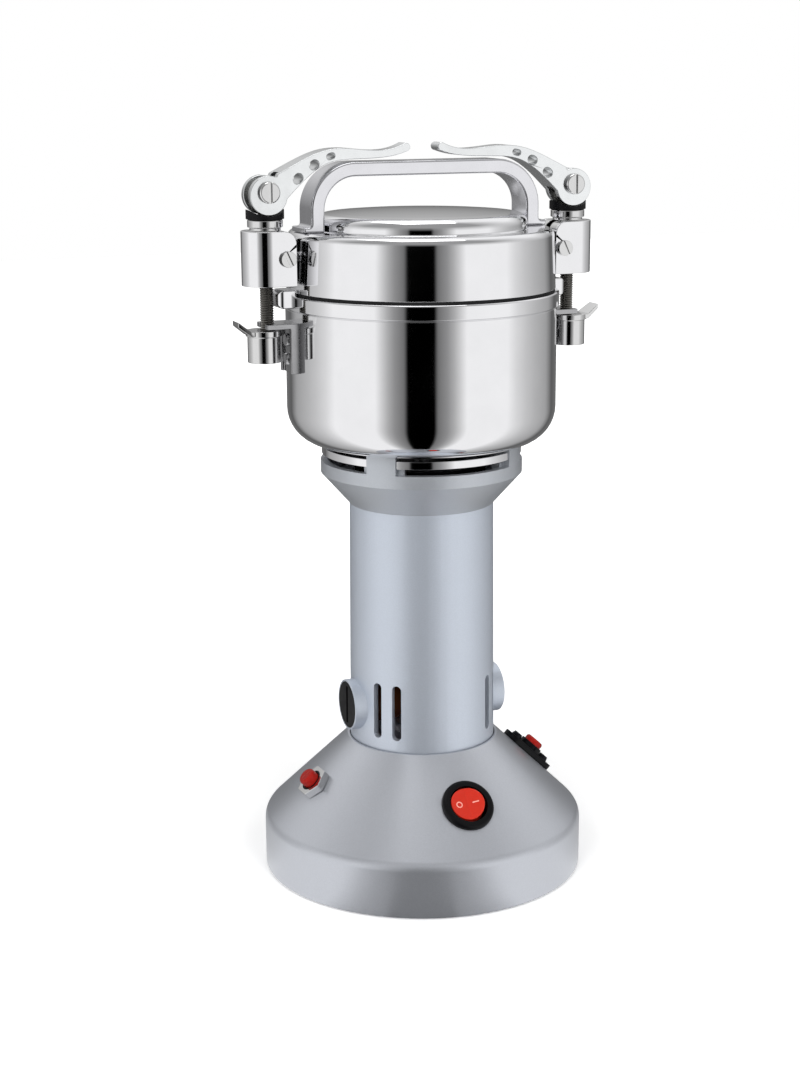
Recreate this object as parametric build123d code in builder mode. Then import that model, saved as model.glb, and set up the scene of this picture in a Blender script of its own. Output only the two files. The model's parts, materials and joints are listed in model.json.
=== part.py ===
"""Electric grain mill with a steel grinding bowl and a clamped lid, in millimetres.

The origin is on the floor under the motor shaft, +Z is up, the front is -Y, and the
clamps and the carry handle stand in the X-Z plane. Every piece is a separate solid.
"""
import os
from math import asin, atan2, cos, degrees, hypot, radians, sin, sqrt

from build123d import *

os.makedirs("parts", exist_ok=True)

# ---------------------------------------------------------------- clearances
fit = 0.05          # radial play of pieces that stay together
bolt_fit = 0.1      # radial play round a screw
gap = 0.3           # running gap between moving pieces
air_gap = 0.6       # rotor to stator

# ---------------------------------------------------------------- base
foot_exposed = 0.6          # height of the feet below the rim of the base
base_radius = 72.7
base_wall = 3.0
shoulder_height = 24.3      # where the wall and the cone would meet
shoulder_round = 6.0
rim_round = 1.2
base_top_radius = 34.2
base_top_height = 61.6
seat_height = 58.5          # the column stands on this ledge, inside the base's top
seat_plate = 3.5
seat_gap = 0.5              # groove seen round the foot of the column
wire_hole_radius = 10.0

plate_height = 2.5          # underside of the bottom plate
plate_thickness = 2.0
plate_gap = 0.6
foot_circle = 56.0
foot_radius = 7.0
foot_boss_radius = 4.5
foot_azimuths = (45, 135, 225, 315)

screw_radius = 1.6          # small screws of the base
screw_head_radius = 3.0
screw_head_height = 1.6
screw_length = 12.0

grommet_height = 15.0
grommet_radius = 4.5
grommet_flange_radius = 6.5
grommet_flange = 2.0
grommet_bore = 2.8

# ---------------------------------------------------------------- controls on the cone
control_height = 43.5       # height on the cone of the centre of the switch
control_spotface = 0.8      # the cone is faced flat this deep for the switch
switch_radius = 9.9
bezel_radius = 11.7
bezel_thickness = 2.2
bezel_round = 1.5
switch_depth = 12.0
switch_floor = 4.5
rocker_radius = 7.45
rocker_opening = 8.5
rocker_pin_radius = 1.2
rocker_pin_reach = 9.3
rocker_bottom = -4.5
rocker_crest = 3.6          # height of the rocker's ends over the cone
rocker_dish = 2.3           # height of the rocker's middle over the cone
rocker_pivot = -2.5
rocker_tilt = 8.0           # half of the rocker's travel, in degrees
terminal_length = 6.0
terminal_width = 4.8
terminal_thickness = 0.8
terminal_spacing = 7.0

reset_azimuth = -87.0
reset_neck_radius = 5.0
reset_neck_top = 3.6
reset_nut_flats = 13.8
reset_nut_height = 3.6
reset_button_radius = 4.0
reset_button_top = 7.6
reset_button_depth = 3.0
reset_button_round = 1.5
reset_travel = 2.5
reset_body_width = 14.0
reset_body_depth = 13.0

side_azimuth = 88.0
side_height = 44.6
side_screw_spacing = 18.0
side_flange_width = 11.0
side_flange_thickness = 2.6
side_boss_radius = 5.5
side_boss_top = 5.0
side_body_depth = 11.0
side_button_radius = 4.4
side_button_top = 7.6
side_button_round = 1.2
side_travel = 2.0
side_screw_head = 2.7
side_screw_head_height = 2.0
side_screw_taper = 18.0
side_screw_length = 7.0

# ---------------------------------------------------------------- motor column
column_foot_radius = 32.8
column_top_radius = 32.2
column_top = 170.0
column_bore = 29.5
rib_circle = 26.4
rib_radius = 3.6
rib_azimuths = (68, 112, 248, 292)
vent_width = 4.2
vent_bottom = 67.0
vent_top = 92.3
vent_azimuths = (42.3, 59.5)    # from the front, to the left and to the right

brush_height = 78.5
boss_radius = 11.4
boss_face = 36.6
boss_root = 26.0
boss_edge = 0.4
brush_cap_radius = 10.5
brush_cap_thickness = 4.0
cap_slot_width = 2.0
cap_slot_depth = 1.5
holder_radius = 9.0
holder_tip = 13.5
brush_width = 6.0
brush_tall = 8.0
brush_length = 11.0
spring_radius = 2.4
spring_wire = 0.4
spring_turns = 4

# ---------------------------------------------------------------- motor
shaft_radius = 4.0
journal_radius = 3.5
bracket_thickness = 5.5
bracket_hub_radius = 12.4
bracket_hub_height = 8.5
bracket_floor = 1.8
lower_bearing_radius = 9.5
lower_bearing_width = 6.0
upper_bearing_radius = 11.0
upper_bearing_width = 7.0
race_groove = 0.5
race_width = 2.2

stator_bottom = 105.0
stator_height = 35.0
stator_radius = 29.3
stator_bore = 17.1
pole_shoe = 2.5
pole_span = 58.0            # half angle of a pole shoe, in degrees
pole_neck = 12.0
yoke_inner = 22.8
coil_span = 40.0            # half angle of a field coil, in degrees
coil_overhang = 6.0
coil_gap = 0.2

tie_bolt_radius = 2.0
tie_head_radius = 3.5
tie_head_height = 2.8
tie_depth = 11.0

armature_slots = 12
slot_width = 2.4
slot_depth = 5.0
winding_overhang = 10.0
winding_radius = 15.0
winding_round = 3.0
commutator_radius = 11.0
commutator_bottom = 71.0
commutator_height = 15.5
commutator_bars = 16
bar_groove = 0.5

# ---------------------------------------------------------------- collar and fan
collar_radius = 44.8
collar_wall_bottom = 184.1
collar_wall = 3.3
collar_floor = 4.0
collar_floor_radius = 30.6  # the cone inside the collar starts outside the tie bolts
spigot_depth = 4.0
spigot_wall = 0.8
hub_radius = 14.5
hub_bottom = 157.0
hub_ceiling = 3.0
floor_vent_inner = 16.0
floor_vent_outer = 21.5
floor_vent_span = 40.0
window_bottom = 189.7
pillar_span = 17.4          # angles in degrees
ledge_span = 26.0
pillar_inner = 37.6
pillar_azimuths = (45, 135, 225, 315)
trim_bottom = 192.6
trim_height = 3.4
trim_radius = 44.3
trim_inner = 35.4
fan_bottom = 176.2
fan_height = 11.0
fan_radius = 30.0
fan_hub_radius = 8.0
fan_disc = 1.4
fan_blades = 9
fan_blade = 1.4
fan_sweep = -15.0           # the blades lean back from the radius, in degrees

# ---------------------------------------------------------------- bowl
bowl_bottom = 197.5
bowl_radius = 59.3
bowl_wall = 1.6
bowl_corner = 16.0
bead_bottom = 257.3
bead_radius = 60.2
bead_round = 0.6
bowl_top = 264.0
bowl_bolt_circle = 40.0
bowl_bolt_radius = 2.0
bowl_bolt_head = 3.2
bowl_bolt_head_height = 2.4
bowl_bolt_length = 10.0
seal_radius = 7.0
seal_flange_radius = 11.0
seal_flange = 2.5
seal_depth = 4.5
guide_reach = 67.2          # the guide lugs end this far from the axis
guide_bottom = 259.2
guide_top = 267.0
guide_width = 12.0
guide_round = 2.5

# ---------------------------------------------------------------- blades
blade_bottom = 207.0
blade_thickness = 2.0
blade_reach = 47.0
blade_width = 17.0
blade_tip_width = 12.0
blade_bend = 24.0
blade_lift = 7.0
blade_spacing = 8.0
spacer_radius = 7.0
blade_nut_flats = 13.0
blade_nut_height = 6.0
shaft_end = 2.5

# ---------------------------------------------------------------- lid
lid_seal_thickness = 1.2
lid_foot_radius = 58.7
lid_rim_radius = 57.8
lid_rim_height = 290.8
lid_rim_round = 1.6
lid_wall = 1.6
crown_radius = 46.2
crown_wall_top = 297.0
crown_height = 299.1
crown_round = 4.5
spigot_skirt = 6.5
spigot_gap = 0.4
skirt_wall = 1.6
skirt_overlap = 3.0

# ---------------------------------------------------------------- carry handle
handle_half_span = 52.7
handle_thickness = 6.0
handle_width = 16.4
handle_top = 319.8
handle_corner = 20.0
handle_edge = 1.0
foot_reach = 56.2
foot_thickness = 2.2
foot_bend = 1.4
handle_screw_radius = 1.5
handle_screw_head = 2.8
handle_screw_head_height = 2.0
handle_screw_length = 10.0

# ---------------------------------------------------------------- clamps (right-hand side)
rod_place = 70.6            # distance of the clamp rod from the axis
rod_radius = 3.0
strap_bottom = 269.0
strap_top = 292.0
strap_radius = 10.4
strap_wall = 2.2
strap_end = 60.2
strap_corner = 5.0
swing_place = 64.2          # axis of the clamp's pivot screw
swing_height = 280.5
swing_screw_radius = 1.5
swing_head_radius = 3.4
swing_head_height = 1.8
swing_slot_turn = 25.0
lug_thickness = 4.0
lug_end_radius = 2.9
lug_root_height = 12.0
tongue_end = 60.5
barrel_neck_radius = 6.6
barrel_ring_radius = 7.5
barrel_ring_bottom = 293.4
barrel_top = 296.8
ring_round = 0.8

pad_radius = 8.1
pad_horn = 301.2
pad_dish = 13.0             # radius of the hollow under the cam
pivot_height = 308.0        # axis of the lever's screw
cam_radius = 8.2
cam_offset = 1.3            # the cam's centre lies this far under the lever's screw
cheek_gap = 6.4
lever_width = 12.6
lever_tip_width = 8.0
eye_radius = 5.2
web_start = 9.6
lever_screw_radius = 2.0
lever_head_radius = 4.5
lever_head_height = 2.2
lever_nut_radius = 3.8
lever_nut_height = 2.4
screw_slot = 1.4
screw_slot_depth = 0.9

flange_end = 72.8
flange_top = 253.0
flange_thickness = 2.2
flange_slot = 7.0
bracket_width = 15.0
bracket_bottom = 231.4
bracket_plate = 2.2
bracket_bend = 2.6
cheek_reach = 1.0           # the bracket's side flanges stand this far over its plate
rivet_heights = (237.2, 245.4)
rivet_radius = 1.6
rivet_head = 3.0
rivet_head_height = 1.4
rivet_taper = 22.0

hook_gap = 0.6
hook_height = 13.8
hook_radius = 7.1
hook_offset = 1.5           # the hook's body stands outward of the rod
hook_collar = 2.6
hook_collar_extra = 0.7
tab_reach = 84.6
tab_rise = 4.2
tab_thickness = 2.2
tab_width = 11.0
tab_tip_width = 8.5


# ---------------------------------------------------------------- shared geometry
cone_slope = (base_top_height - shoulder_height) / (base_radius - base_top_radius)
cone_tilt = degrees(atan2(1, cone_slope))       # the cone's normal over the horizon
cone_stretch = hypot(1, cone_slope)


def cone_radius(height):
    """Radius of the outside of the base's cone at this height."""
    return base_radius - (height - shoulder_height) / cone_slope


def cone_plane(azimuth, height):
    """Plane on the cone: X level, Y up the slope, Z outward. Azimuth runs from the front."""
    turn = radians(azimuth)
    tilt = radians(cone_tilt)
    radius = cone_radius(height)
    return Plane(
        origin=(radius * sin(turn), -radius * cos(turn), height),
        x_dir=(cos(turn), sin(turn), 0),
        z_dir=(sin(turn) * cos(tilt), -cos(turn) * cos(tilt), sin(tilt)),
    )


def polar(radius, azimuth):
    """Point on a circle, with the azimuth in degrees from +X."""
    return radius * cos(radians(azimuth)), radius * sin(radians(azimuth))


def corner(sketch, x, y):
    """The sketch's corner nearest to (x, y)."""
    return sketch.vertices().sort_by_distance((x, y, 0))[0]


def ring_sector(inner, outer, middle, half_angle, mode=Mode.ADD):
    """Sketch a piece of a ring, inside a BuildSketch."""
    start = middle - half_angle
    end = middle + half_angle
    with BuildLine() as outline:
        CenterArc((0, 0), outer, start, 2 * half_angle)
        CenterArc((0, 0), inner, start, 2 * half_angle)
        Line(polar(inner, start), polar(outer, start))
        Line(polar(inner, end), polar(outer, end))
    make_face(outline.edges(), mode=mode)


def write_pair(right_piece, name):
    """Write the right-hand piece and its mirror image on the left."""
    left_piece = mirror(right_piece, about=Plane.YZ)
    for mark, piece in (("right", right_piece), ("left", left_piece)):
        piece.label = f"{mark}_{name}"
        export_step(piece, f"parts/{mark}_{name}.step")


# ---------------------------------------------------------------- base housing
plate_top = plate_height + plate_thickness
inner_radius = base_radius - base_wall
inner_shoulder = shoulder_height + base_wall * (cone_slope - cone_stretch)
ceiling = seat_height - seat_plate
ceiling_radius = cone_radius(ceiling + base_wall * cone_stretch)
rocker_plane = cone_plane(0, control_height)
reset_plane = cone_plane(reset_azimuth, control_height)
side_plane = cone_plane(side_azimuth, side_height)
foot_points = [polar(foot_circle, azimuth) for azimuth in foot_azimuths]
rib_points = [polar(rib_circle, azimuth) for azimuth in rib_azimuths]

# The hollow of the base, with the bosses for the feet left standing in it.
with BuildPart() as base_hollow:
    with BuildSketch(Plane.XZ):
        with BuildLine():
            Polyline(
                (0, 0),
                (inner_radius, 0),
                (inner_radius, inner_shoulder),
                (ceiling_radius, ceiling),
                (0, ceiling),
                close=True,
            )
        make_face()
    revolve(axis=Axis.Z)
    with BuildSketch(Plane.XY.offset(plate_top)):
        with Locations(*foot_points):
            Circle(foot_boss_radius)
    extrude(amount=base_top_height, mode=Mode.SUBTRACT)

with BuildPart() as base_housing:
    with BuildSketch(Plane.XZ) as section:
        with BuildLine():
            Polyline(
                (0, foot_exposed),
                (base_radius, foot_exposed),
                (base_radius, shoulder_height),
                (base_top_radius, base_top_height),
                (0, base_top_height),
                close=True,
            )
        make_face()
        fillet(corner(section, base_radius, shoulder_height), shoulder_round)
        fillet(corner(section, base_radius, foot_exposed), rim_round)
        fillet(corner(section, base_top_radius, base_top_height), seat_gap)
    revolve(axis=Axis.Z)
    add(base_hollow.part, mode=Mode.SUBTRACT)
    with BuildSketch(Plane.XY.offset(seat_height)):
        Circle(column_foot_radius + seat_gap)
    extrude(amount=base_top_height - seat_height, mode=Mode.SUBTRACT)
    with BuildSketch(Plane.XY.offset(seat_height)):
        Circle(wire_hole_radius)
        with Locations(*rib_points):
            Circle(screw_radius + bolt_fit)
    extrude(amount=-seat_plate, mode=Mode.SUBTRACT)
    with BuildSketch(Plane.XY.offset(plate_top)):
        with Locations(*foot_points):
            Circle(screw_radius)
    extrude(amount=screw_length, mode=Mode.SUBTRACT)
    for plane, radius in (
        (rocker_plane, switch_radius + bolt_fit),
        (reset_plane, reset_neck_radius + bolt_fit),
        (side_plane, side_boss_radius + bolt_fit),
    ):
        with BuildSketch(plane):
            Circle(radius)
        extrude(amount=2 * base_wall, both=True, mode=Mode.SUBTRACT)
    with BuildSketch(rocker_plane.offset(-control_spotface)):
        Circle(bezel_radius + bolt_fit)
    extrude(amount=base_wall, mode=Mode.SUBTRACT)
    with BuildSketch(side_plane):
        with GridLocations(0, side_screw_spacing, 1, 2):
            Circle(screw_radius)
    extrude(amount=2 * base_wall, both=True, mode=Mode.SUBTRACT)
    with BuildSketch(Plane.XZ.offset(-inner_radius + base_wall)):
        with Locations((0, grommet_height)):
            Circle(grommet_radius)
    extrude(amount=-3 * base_wall, mode=Mode.SUBTRACT)
base_housing.part.label = "base_housing"
export_step(base_housing.part, "parts/base_housing.step")

with BuildPart() as bottom_plate:
    with BuildSketch(Plane.XY.offset(plate_height)):
        Circle(inner_radius - plate_gap)
        with Locations(*foot_points):
            Circle(screw_radius + bolt_fit, mode=Mode.SUBTRACT)
    extrude(amount=plate_thickness)
bottom_plate.part.label = "bottom_plate"
export_step(bottom_plate.part, "parts/bottom_plate.step")

foot_recess = screw_head_height + foot_exposed / 2
with BuildPart() as rubber_feet:
    with BuildSketch():
        with Locations(*foot_points):
            Circle(foot_radius)
            Circle(screw_radius + bolt_fit, mode=Mode.SUBTRACT)
    extrude(amount=plate_height)
    with BuildSketch():
        with Locations(*foot_points):
            Circle(screw_head_radius + bolt_fit)
    extrude(amount=foot_recess, mode=Mode.SUBTRACT)
rubber_feet.part.label = "rubber_feet"
export_step(rubber_feet.part, "parts/rubber_feet.step")

# Four screws hold the feet and the bottom plate, and four hold the column on its ledge.
with BuildPart() as base_screws:
    for height, points in ((foot_recess, foot_points), (ceiling, rib_points)):
        with BuildSketch(Plane.XY.offset(height)):
            with Locations(*points):
                Circle(screw_head_radius)
        extrude(amount=-screw_head_height)
        with BuildSketch(Plane.XY.offset(height)):
            with Locations(*points):
                Circle(screw_radius - fit)
        extrude(amount=screw_length)
base_screws.part.label = "base_screws"
export_step(base_screws.part, "parts/base_screws.step")

with BuildPart() as cord_grommet:
    with BuildSketch(Plane.XZ.offset(-base_radius - grommet_flange)):
        with Locations((0, grommet_height)):
            Circle(grommet_flange_radius)
    extrude(amount=2 * grommet_flange)
    with BuildSketch(Plane.XY):
        Circle(base_radius + fit)
    extrude(amount=2 * grommet_height + base_wall, mode=Mode.SUBTRACT)
    with BuildSketch(Plane.XZ.offset(-base_radius - grommet_flange)):
        with Locations((0, grommet_height)):
            Circle(grommet_radius - fit)
    extrude(amount=base_wall + 2 * grommet_flange)
    with BuildSketch(Plane.XZ.offset(-base_radius - grommet_flange)):
        with Locations((0, grommet_height)):
            Circle(grommet_bore)
    extrude(amount=base_wall + 3 * grommet_flange, mode=Mode.SUBTRACT)
cord_grommet.part.label = "cord_grommet"
export_step(cord_grommet.part, "parts/cord_grommet.step")

# ---------------------------------------------------------------- rocker switch
rocker_axis_plane = rocker_plane.offset(rocker_pivot)
rocker_rest_plane = Plane(rocker_axis_plane.location * Rotation(0, -rocker_tilt, 0))
rocker_side_plane = Plane(
    origin=rocker_rest_plane.origin,
    x_dir=rocker_rest_plane.x_dir,
    z_dir=-rocker_rest_plane.y_dir,
)
with BuildPart() as switch_frame:
    with BuildSketch(rocker_plane.offset(-control_spotface)):
        Circle(bezel_radius)
    extrude(amount=bezel_thickness + control_spotface)
    fillet(switch_frame.edges().group_by(Axis.Z)[-1], bezel_round)
    with BuildSketch(rocker_plane):
        Circle(switch_radius)
    extrude(amount=-switch_depth)
    with BuildSketch(rocker_plane.offset(switch_floor - switch_depth)):
        Circle(rocker_opening)
    extrude(amount=switch_depth + bezel_thickness, mode=Mode.SUBTRACT)
    with BuildSketch(rocker_side_plane):
        Circle(rocker_pin_radius + fit)
    extrude(amount=rocker_pin_reach + bolt_fit, both=True, mode=Mode.SUBTRACT)
    with BuildSketch(rocker_plane.offset(-switch_depth)):
        with GridLocations(0, terminal_spacing, 1, 2):
            Rectangle(terminal_width, terminal_thickness)
    extrude(amount=-terminal_length)
switch_frame.part.label = "switch_frame"
export_step(switch_frame.part, "parts/switch_frame.step")

# The rocker is dished across its top, and rests with its left half pressed in.
with BuildPart() as rocker_button:
    with BuildSketch(rocker_side_plane):
        with BuildLine():
            Polyline(
                (rocker_radius, rocker_crest - rocker_pivot),
                (rocker_radius, rocker_bottom - rocker_pivot),
                (-rocker_radius, rocker_bottom - rocker_pivot),
                (-rocker_radius, rocker_crest - rocker_pivot),
                (0, rocker_dish - rocker_pivot),
                close=True,
            )
        make_face()
    extrude(amount=rocker_radius, both=True)
    with BuildSketch(rocker_rest_plane.offset(rocker_bottom - rocker_pivot)):
        Circle(rocker_radius)
    extrude(amount=rocker_crest - rocker_bottom, mode=Mode.INTERSECT)
    with BuildSketch(rocker_side_plane):
        Circle(rocker_pin_radius)
    extrude(amount=rocker_pin_reach, both=True)
rocker_button.part.label = "rocker_button"
export_step(rocker_button.part, "parts/rocker_button.step")

# ---------------------------------------------------------------- reset breaker on the left
with BuildPart() as reset_breaker:
    with BuildSketch(reset_plane.offset(reset_neck_top)):
        Circle(reset_neck_radius)
        Circle(reset_button_radius + gap, mode=Mode.SUBTRACT)
    extrude(amount=-reset_neck_top - base_wall)
    with BuildSketch(reset_plane.offset(-base_wall - 2 * gap)):
        Rectangle(reset_body_width, reset_body_width)
    extrude(amount=-reset_body_depth)
    with BuildSketch(reset_plane.offset(-base_wall)):
        Circle(reset_neck_radius)
        Circle(reset_button_radius + gap, mode=Mode.SUBTRACT)
    extrude(amount=-2 * gap)
    with BuildSketch(reset_plane.offset(-base_wall)):
        Circle(reset_button_radius + gap)
    extrude(amount=-reset_button_depth - reset_travel, mode=Mode.SUBTRACT)
reset_breaker.part.label = "reset_breaker"
export_step(reset_breaker.part, "parts/reset_breaker.step")

with BuildPart() as reset_nut:
    with BuildSketch(reset_plane):
        RegularPolygon(reset_nut_flats / 2, 6, major_radius=False)
        Circle(reset_neck_radius + fit, mode=Mode.SUBTRACT)
    extrude(amount=reset_nut_height)
reset_nut.part.label = "reset_nut"
export_step(reset_nut.part, "parts/reset_nut.step")

with BuildPart() as reset_button:
    with BuildSketch(reset_plane.offset(-reset_button_depth)):
        Circle(reset_button_radius)
    extrude(amount=reset_button_depth + reset_button_top)
    fillet(reset_button.edges().group_by(Axis.Z)[-1], reset_button_round)
reset_button.part.label = "reset_button"
export_step(reset_button.part, "parts/reset_button.step")

# ---------------------------------------------------------------- push button on the right
with BuildPart() as button_housing:
    with BuildSketch(side_plane):
        SlotCenterToCenter(side_screw_spacing, side_flange_width, rotation=90)
        with GridLocations(0, side_screw_spacing, 1, 2):
            Circle(screw_radius + bolt_fit, mode=Mode.SUBTRACT)
    extrude(amount=side_flange_thickness)
    with BuildSketch(side_plane.offset(-side_body_depth)):
        Circle(side_boss_radius)
    extrude(amount=side_body_depth + side_boss_top)
    with BuildSketch(side_plane.offset(-side_body_depth + base_wall)):
        Circle(side_button_radius + gap)
    extrude(amount=side_body_depth + side_boss_top, mode=Mode.SUBTRACT)
button_housing.part.label = "button_housing"
export_step(button_housing.part, "parts/button_housing.step")

with BuildPart() as button_screws:
    with BuildSketch(side_plane.offset(side_flange_thickness)):
        with GridLocations(0, side_screw_spacing, 1, 2):
            Circle(side_screw_head)
    extrude(amount=side_screw_head_height, taper=side_screw_taper)
    with BuildSketch(side_plane.offset(side_flange_thickness)):
        with GridLocations(0, side_screw_spacing, 1, 2):
            Circle(screw_radius - fit)
    extrude(amount=-side_screw_length)
button_screws.part.label = "button_screws"
export_step(button_screws.part, "parts/button_screws.step")

side_button_bottom = -side_body_depth + base_wall + side_travel + gap
with BuildPart() as side_button:
    with BuildSketch(side_plane.offset(side_button_bottom)):
        Circle(side_button_radius)
    extrude(amount=side_button_top - side_button_bottom)
    fillet(side_button.edges().group_by(Axis.Z)[-1], side_button_round)
side_button.part.label = "side_button"
export_step(side_button.part, "parts/side_button.step")

# ---------------------------------------------------------------- motor column
rib_bottom = seat_height + bracket_thickness
brush_planes = [
    Plane(origin=(0, 0, brush_height), x_dir=(0, side, 0), z_dir=(side, 0, 0)) for side in (1, -1)
]

# The bore of the column, with the screw ribs left standing in it.
with BuildPart() as column_hollow:
    with BuildSketch(Plane.XY.offset(seat_height)):
        Circle(column_bore)
    extrude(amount=column_top - seat_height)
    with BuildSketch(Plane.XY.offset(rib_bottom)):
        with Locations(*rib_points):
            Circle(rib_radius)
    extrude(amount=stator_bottom - rib_bottom, mode=Mode.SUBTRACT)

with BuildPart() as motor_housing:
    with BuildSketch(Plane.XZ):
        with BuildLine():
            Polyline(
                (0, seat_height),
                (column_foot_radius, seat_height),
                (column_top_radius, column_top),
                (0, column_top),
                close=True,
            )
        make_face()
    revolve(axis=Axis.Z)
    for plane in brush_planes:
        with BuildSketch(plane.offset(boss_root)):
            Circle(boss_radius)
        extrude(amount=boss_face - boss_root)
    fillet(motor_housing.edges().group_by(Axis.X)[-1], boss_edge)
    fillet(motor_housing.edges().group_by(Axis.X)[0], boss_edge)
    add(column_hollow.part, mode=Mode.SUBTRACT)
    for plane in brush_planes:
        with BuildSketch(plane.offset(boss_root / 2)):
            Circle(holder_radius + fit)
        extrude(amount=boss_face, mode=Mode.SUBTRACT)
        with BuildSketch(plane.offset(boss_face - brush_cap_thickness)):
            Circle(brush_cap_radius + fit)
        extrude(amount=brush_cap_thickness, mode=Mode.SUBTRACT)
    for azimuth in vent_azimuths:
        for side in (1, -1):
            for face in (-90, 90):
                vent_plane = Plane(
                    origin=(0, 0, (vent_bottom + vent_top) / 2),
                    x_dir=(0, 0, 1),
                    z_dir=(*polar(1, face + side * azimuth), 0),
                )
                with BuildSketch(vent_plane):
                    SlotOverall(vent_top - vent_bottom, vent_width)
                extrude(amount=column_foot_radius + base_wall, mode=Mode.SUBTRACT)
    with BuildSketch(Plane.XY.offset(rib_bottom)):
        with Locations(*rib_points):
            Circle(screw_radius)
    extrude(amount=screw_length, mode=Mode.SUBTRACT)
    with BuildSketch(Plane.XY.offset(stator_bottom)):
        with Locations(*rib_points):
            Circle(tie_bolt_radius)
    extrude(amount=-tie_depth - base_wall, mode=Mode.SUBTRACT)
motor_housing.part.label = "motor_housing"
export_step(motor_housing.part, "parts/motor_housing.step")

# ---------------------------------------------------------------- brush gear
cap_floor = boss_face - brush_cap_thickness
brush_tip = commutator_radius + gap
with BuildPart() as brush_caps:
    for plane in brush_planes:
        with BuildSketch(plane.offset(cap_floor)):
            Circle(brush_cap_radius)
        extrude(amount=brush_cap_thickness)
        with BuildSketch(plane.offset(boss_face)):
            Rectangle(cap_slot_width, 2 * brush_cap_radius - 2 * cap_slot_width)
        extrude(amount=-cap_slot_depth, mode=Mode.SUBTRACT)
brush_caps.part.label = "brush_caps"
export_step(brush_caps.part, "parts/brush_caps.step")

with BuildPart() as brush_holders:
    for plane in brush_planes:
        with BuildSketch(plane.offset(holder_tip)):
            Circle(holder_radius)
            Rectangle(brush_width + 2 * bolt_fit, brush_tall + 2 * bolt_fit, mode=Mode.SUBTRACT)
        extrude(amount=cap_floor - holder_tip)
brush_holders.part.label = "brush_holders"
export_step(brush_holders.part, "parts/brush_holders.step")

with BuildPart() as carbon_brushes:
    for plane in brush_planes:
        with BuildSketch(plane.offset(brush_tip)):
            Rectangle(brush_width, brush_tall)
        extrude(amount=brush_length)
carbon_brushes.part.label = "carbon_brushes"
export_step(carbon_brushes.part, "parts/carbon_brushes.step")

spring_start = brush_tip + brush_length + spring_wire + fit
spring_length = cap_floor - spring_wire - fit - spring_start
with BuildPart() as brush_springs:
    for plane in brush_planes:
        with BuildLine() as coil:
            Helix(
                spring_length / spring_turns,
                spring_length,
                spring_radius,
                center=tuple(plane.offset(spring_start).origin),
                direction=tuple(plane.z_dir),
            )
        with BuildSketch(Plane(origin=coil.line @ 0, z_dir=coil.line % 0)):
            Circle(spring_wire)
        sweep(path=coil.line, is_frenet=True)
brush_springs.part.label = "brush_springs"
export_step(brush_springs.part, "parts/brush_springs.step")

# ---------------------------------------------------------------- motor bearings
with BuildPart() as lower_bracket:
    with BuildSketch(Plane.XY.offset(seat_height)):
        Circle(column_bore - fit)
        for middle in (0, 180):
            ring_sector(
                bracket_hub_radius + bracket_floor,
                rib_circle,
                middle,
                floor_vent_span,
                mode=Mode.SUBTRACT,
            )
        with Locations(*rib_points):
            Circle(screw_radius + bolt_fit, mode=Mode.SUBTRACT)
    extrude(amount=bracket_thickness)
    with BuildSketch(Plane.XY.offset(seat_height)):
        Circle(bracket_hub_radius)
    extrude(amount=bracket_hub_height)
    with BuildSketch(Plane.XY.offset(seat_height + bracket_floor)):
        Circle(lower_bearing_radius + fit)
    extrude(amount=bracket_hub_height, mode=Mode.SUBTRACT)
lower_bracket.part.label = "lower_bracket"
export_step(lower_bracket.part, "parts/lower_bracket.step")

lower_bearing_bottom = seat_height + bracket_floor
with BuildPart() as lower_bearing:
    with BuildSketch(Plane.XY.offset(lower_bearing_bottom)):
        Circle(lower_bearing_radius)
        Circle(journal_radius + fit, mode=Mode.SUBTRACT)
    extrude(amount=lower_bearing_width)
    with BuildSketch(Plane.XY.offset(lower_bearing_bottom + lower_bearing_width)):
        Circle(lower_bearing_radius - race_width)
        Circle(journal_radius + race_width, mode=Mode.SUBTRACT)
    extrude(amount=-race_groove, mode=Mode.SUBTRACT)
lower_bearing.part.label = "lower_bearing"
export_step(lower_bearing.part, "parts/lower_bearing.step")

collar_floor_top = column_top + collar_floor / 2
collar_floor_bottom = column_top - collar_floor / 2
upper_bearing_bottom = collar_floor_top - hub_ceiling - upper_bearing_width
with BuildPart() as upper_bearing:
    with BuildSketch(Plane.XY.offset(upper_bearing_bottom)):
        Circle(upper_bearing_radius)
        Circle(shaft_radius + fit, mode=Mode.SUBTRACT)
    extrude(amount=upper_bearing_width)
    with BuildSketch(Plane.XY.offset(upper_bearing_bottom)):
        Circle(upper_bearing_radius - race_width)
        Circle(shaft_radius + race_width, mode=Mode.SUBTRACT)
    extrude(amount=race_groove, mode=Mode.SUBTRACT)
upper_bearing.part.label = "upper_bearing"
export_step(upper_bearing.part, "parts/upper_bearing.step")

# ---------------------------------------------------------------- stator
stator_top = stator_bottom + stator_height
with BuildPart() as stator_core:
    with BuildSketch(Plane.XY.offset(stator_bottom)):
        Circle(stator_radius)
        Circle(yoke_inner, mode=Mode.SUBTRACT)
        Rectangle(pole_neck, 2 * yoke_inner + 2 * pole_shoe)
        for middle in (90, -90):
            ring_sector(stator_bore, stator_bore + pole_shoe, middle, pole_span)
        Circle(stator_bore, mode=Mode.SUBTRACT)
        with Locations(*rib_points):
            Circle(tie_bolt_radius + bolt_fit, mode=Mode.SUBTRACT)
    extrude(amount=stator_height)
stator_core.part.label = "stator_core"
export_step(stator_core.part, "parts/stator_core.step")

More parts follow.
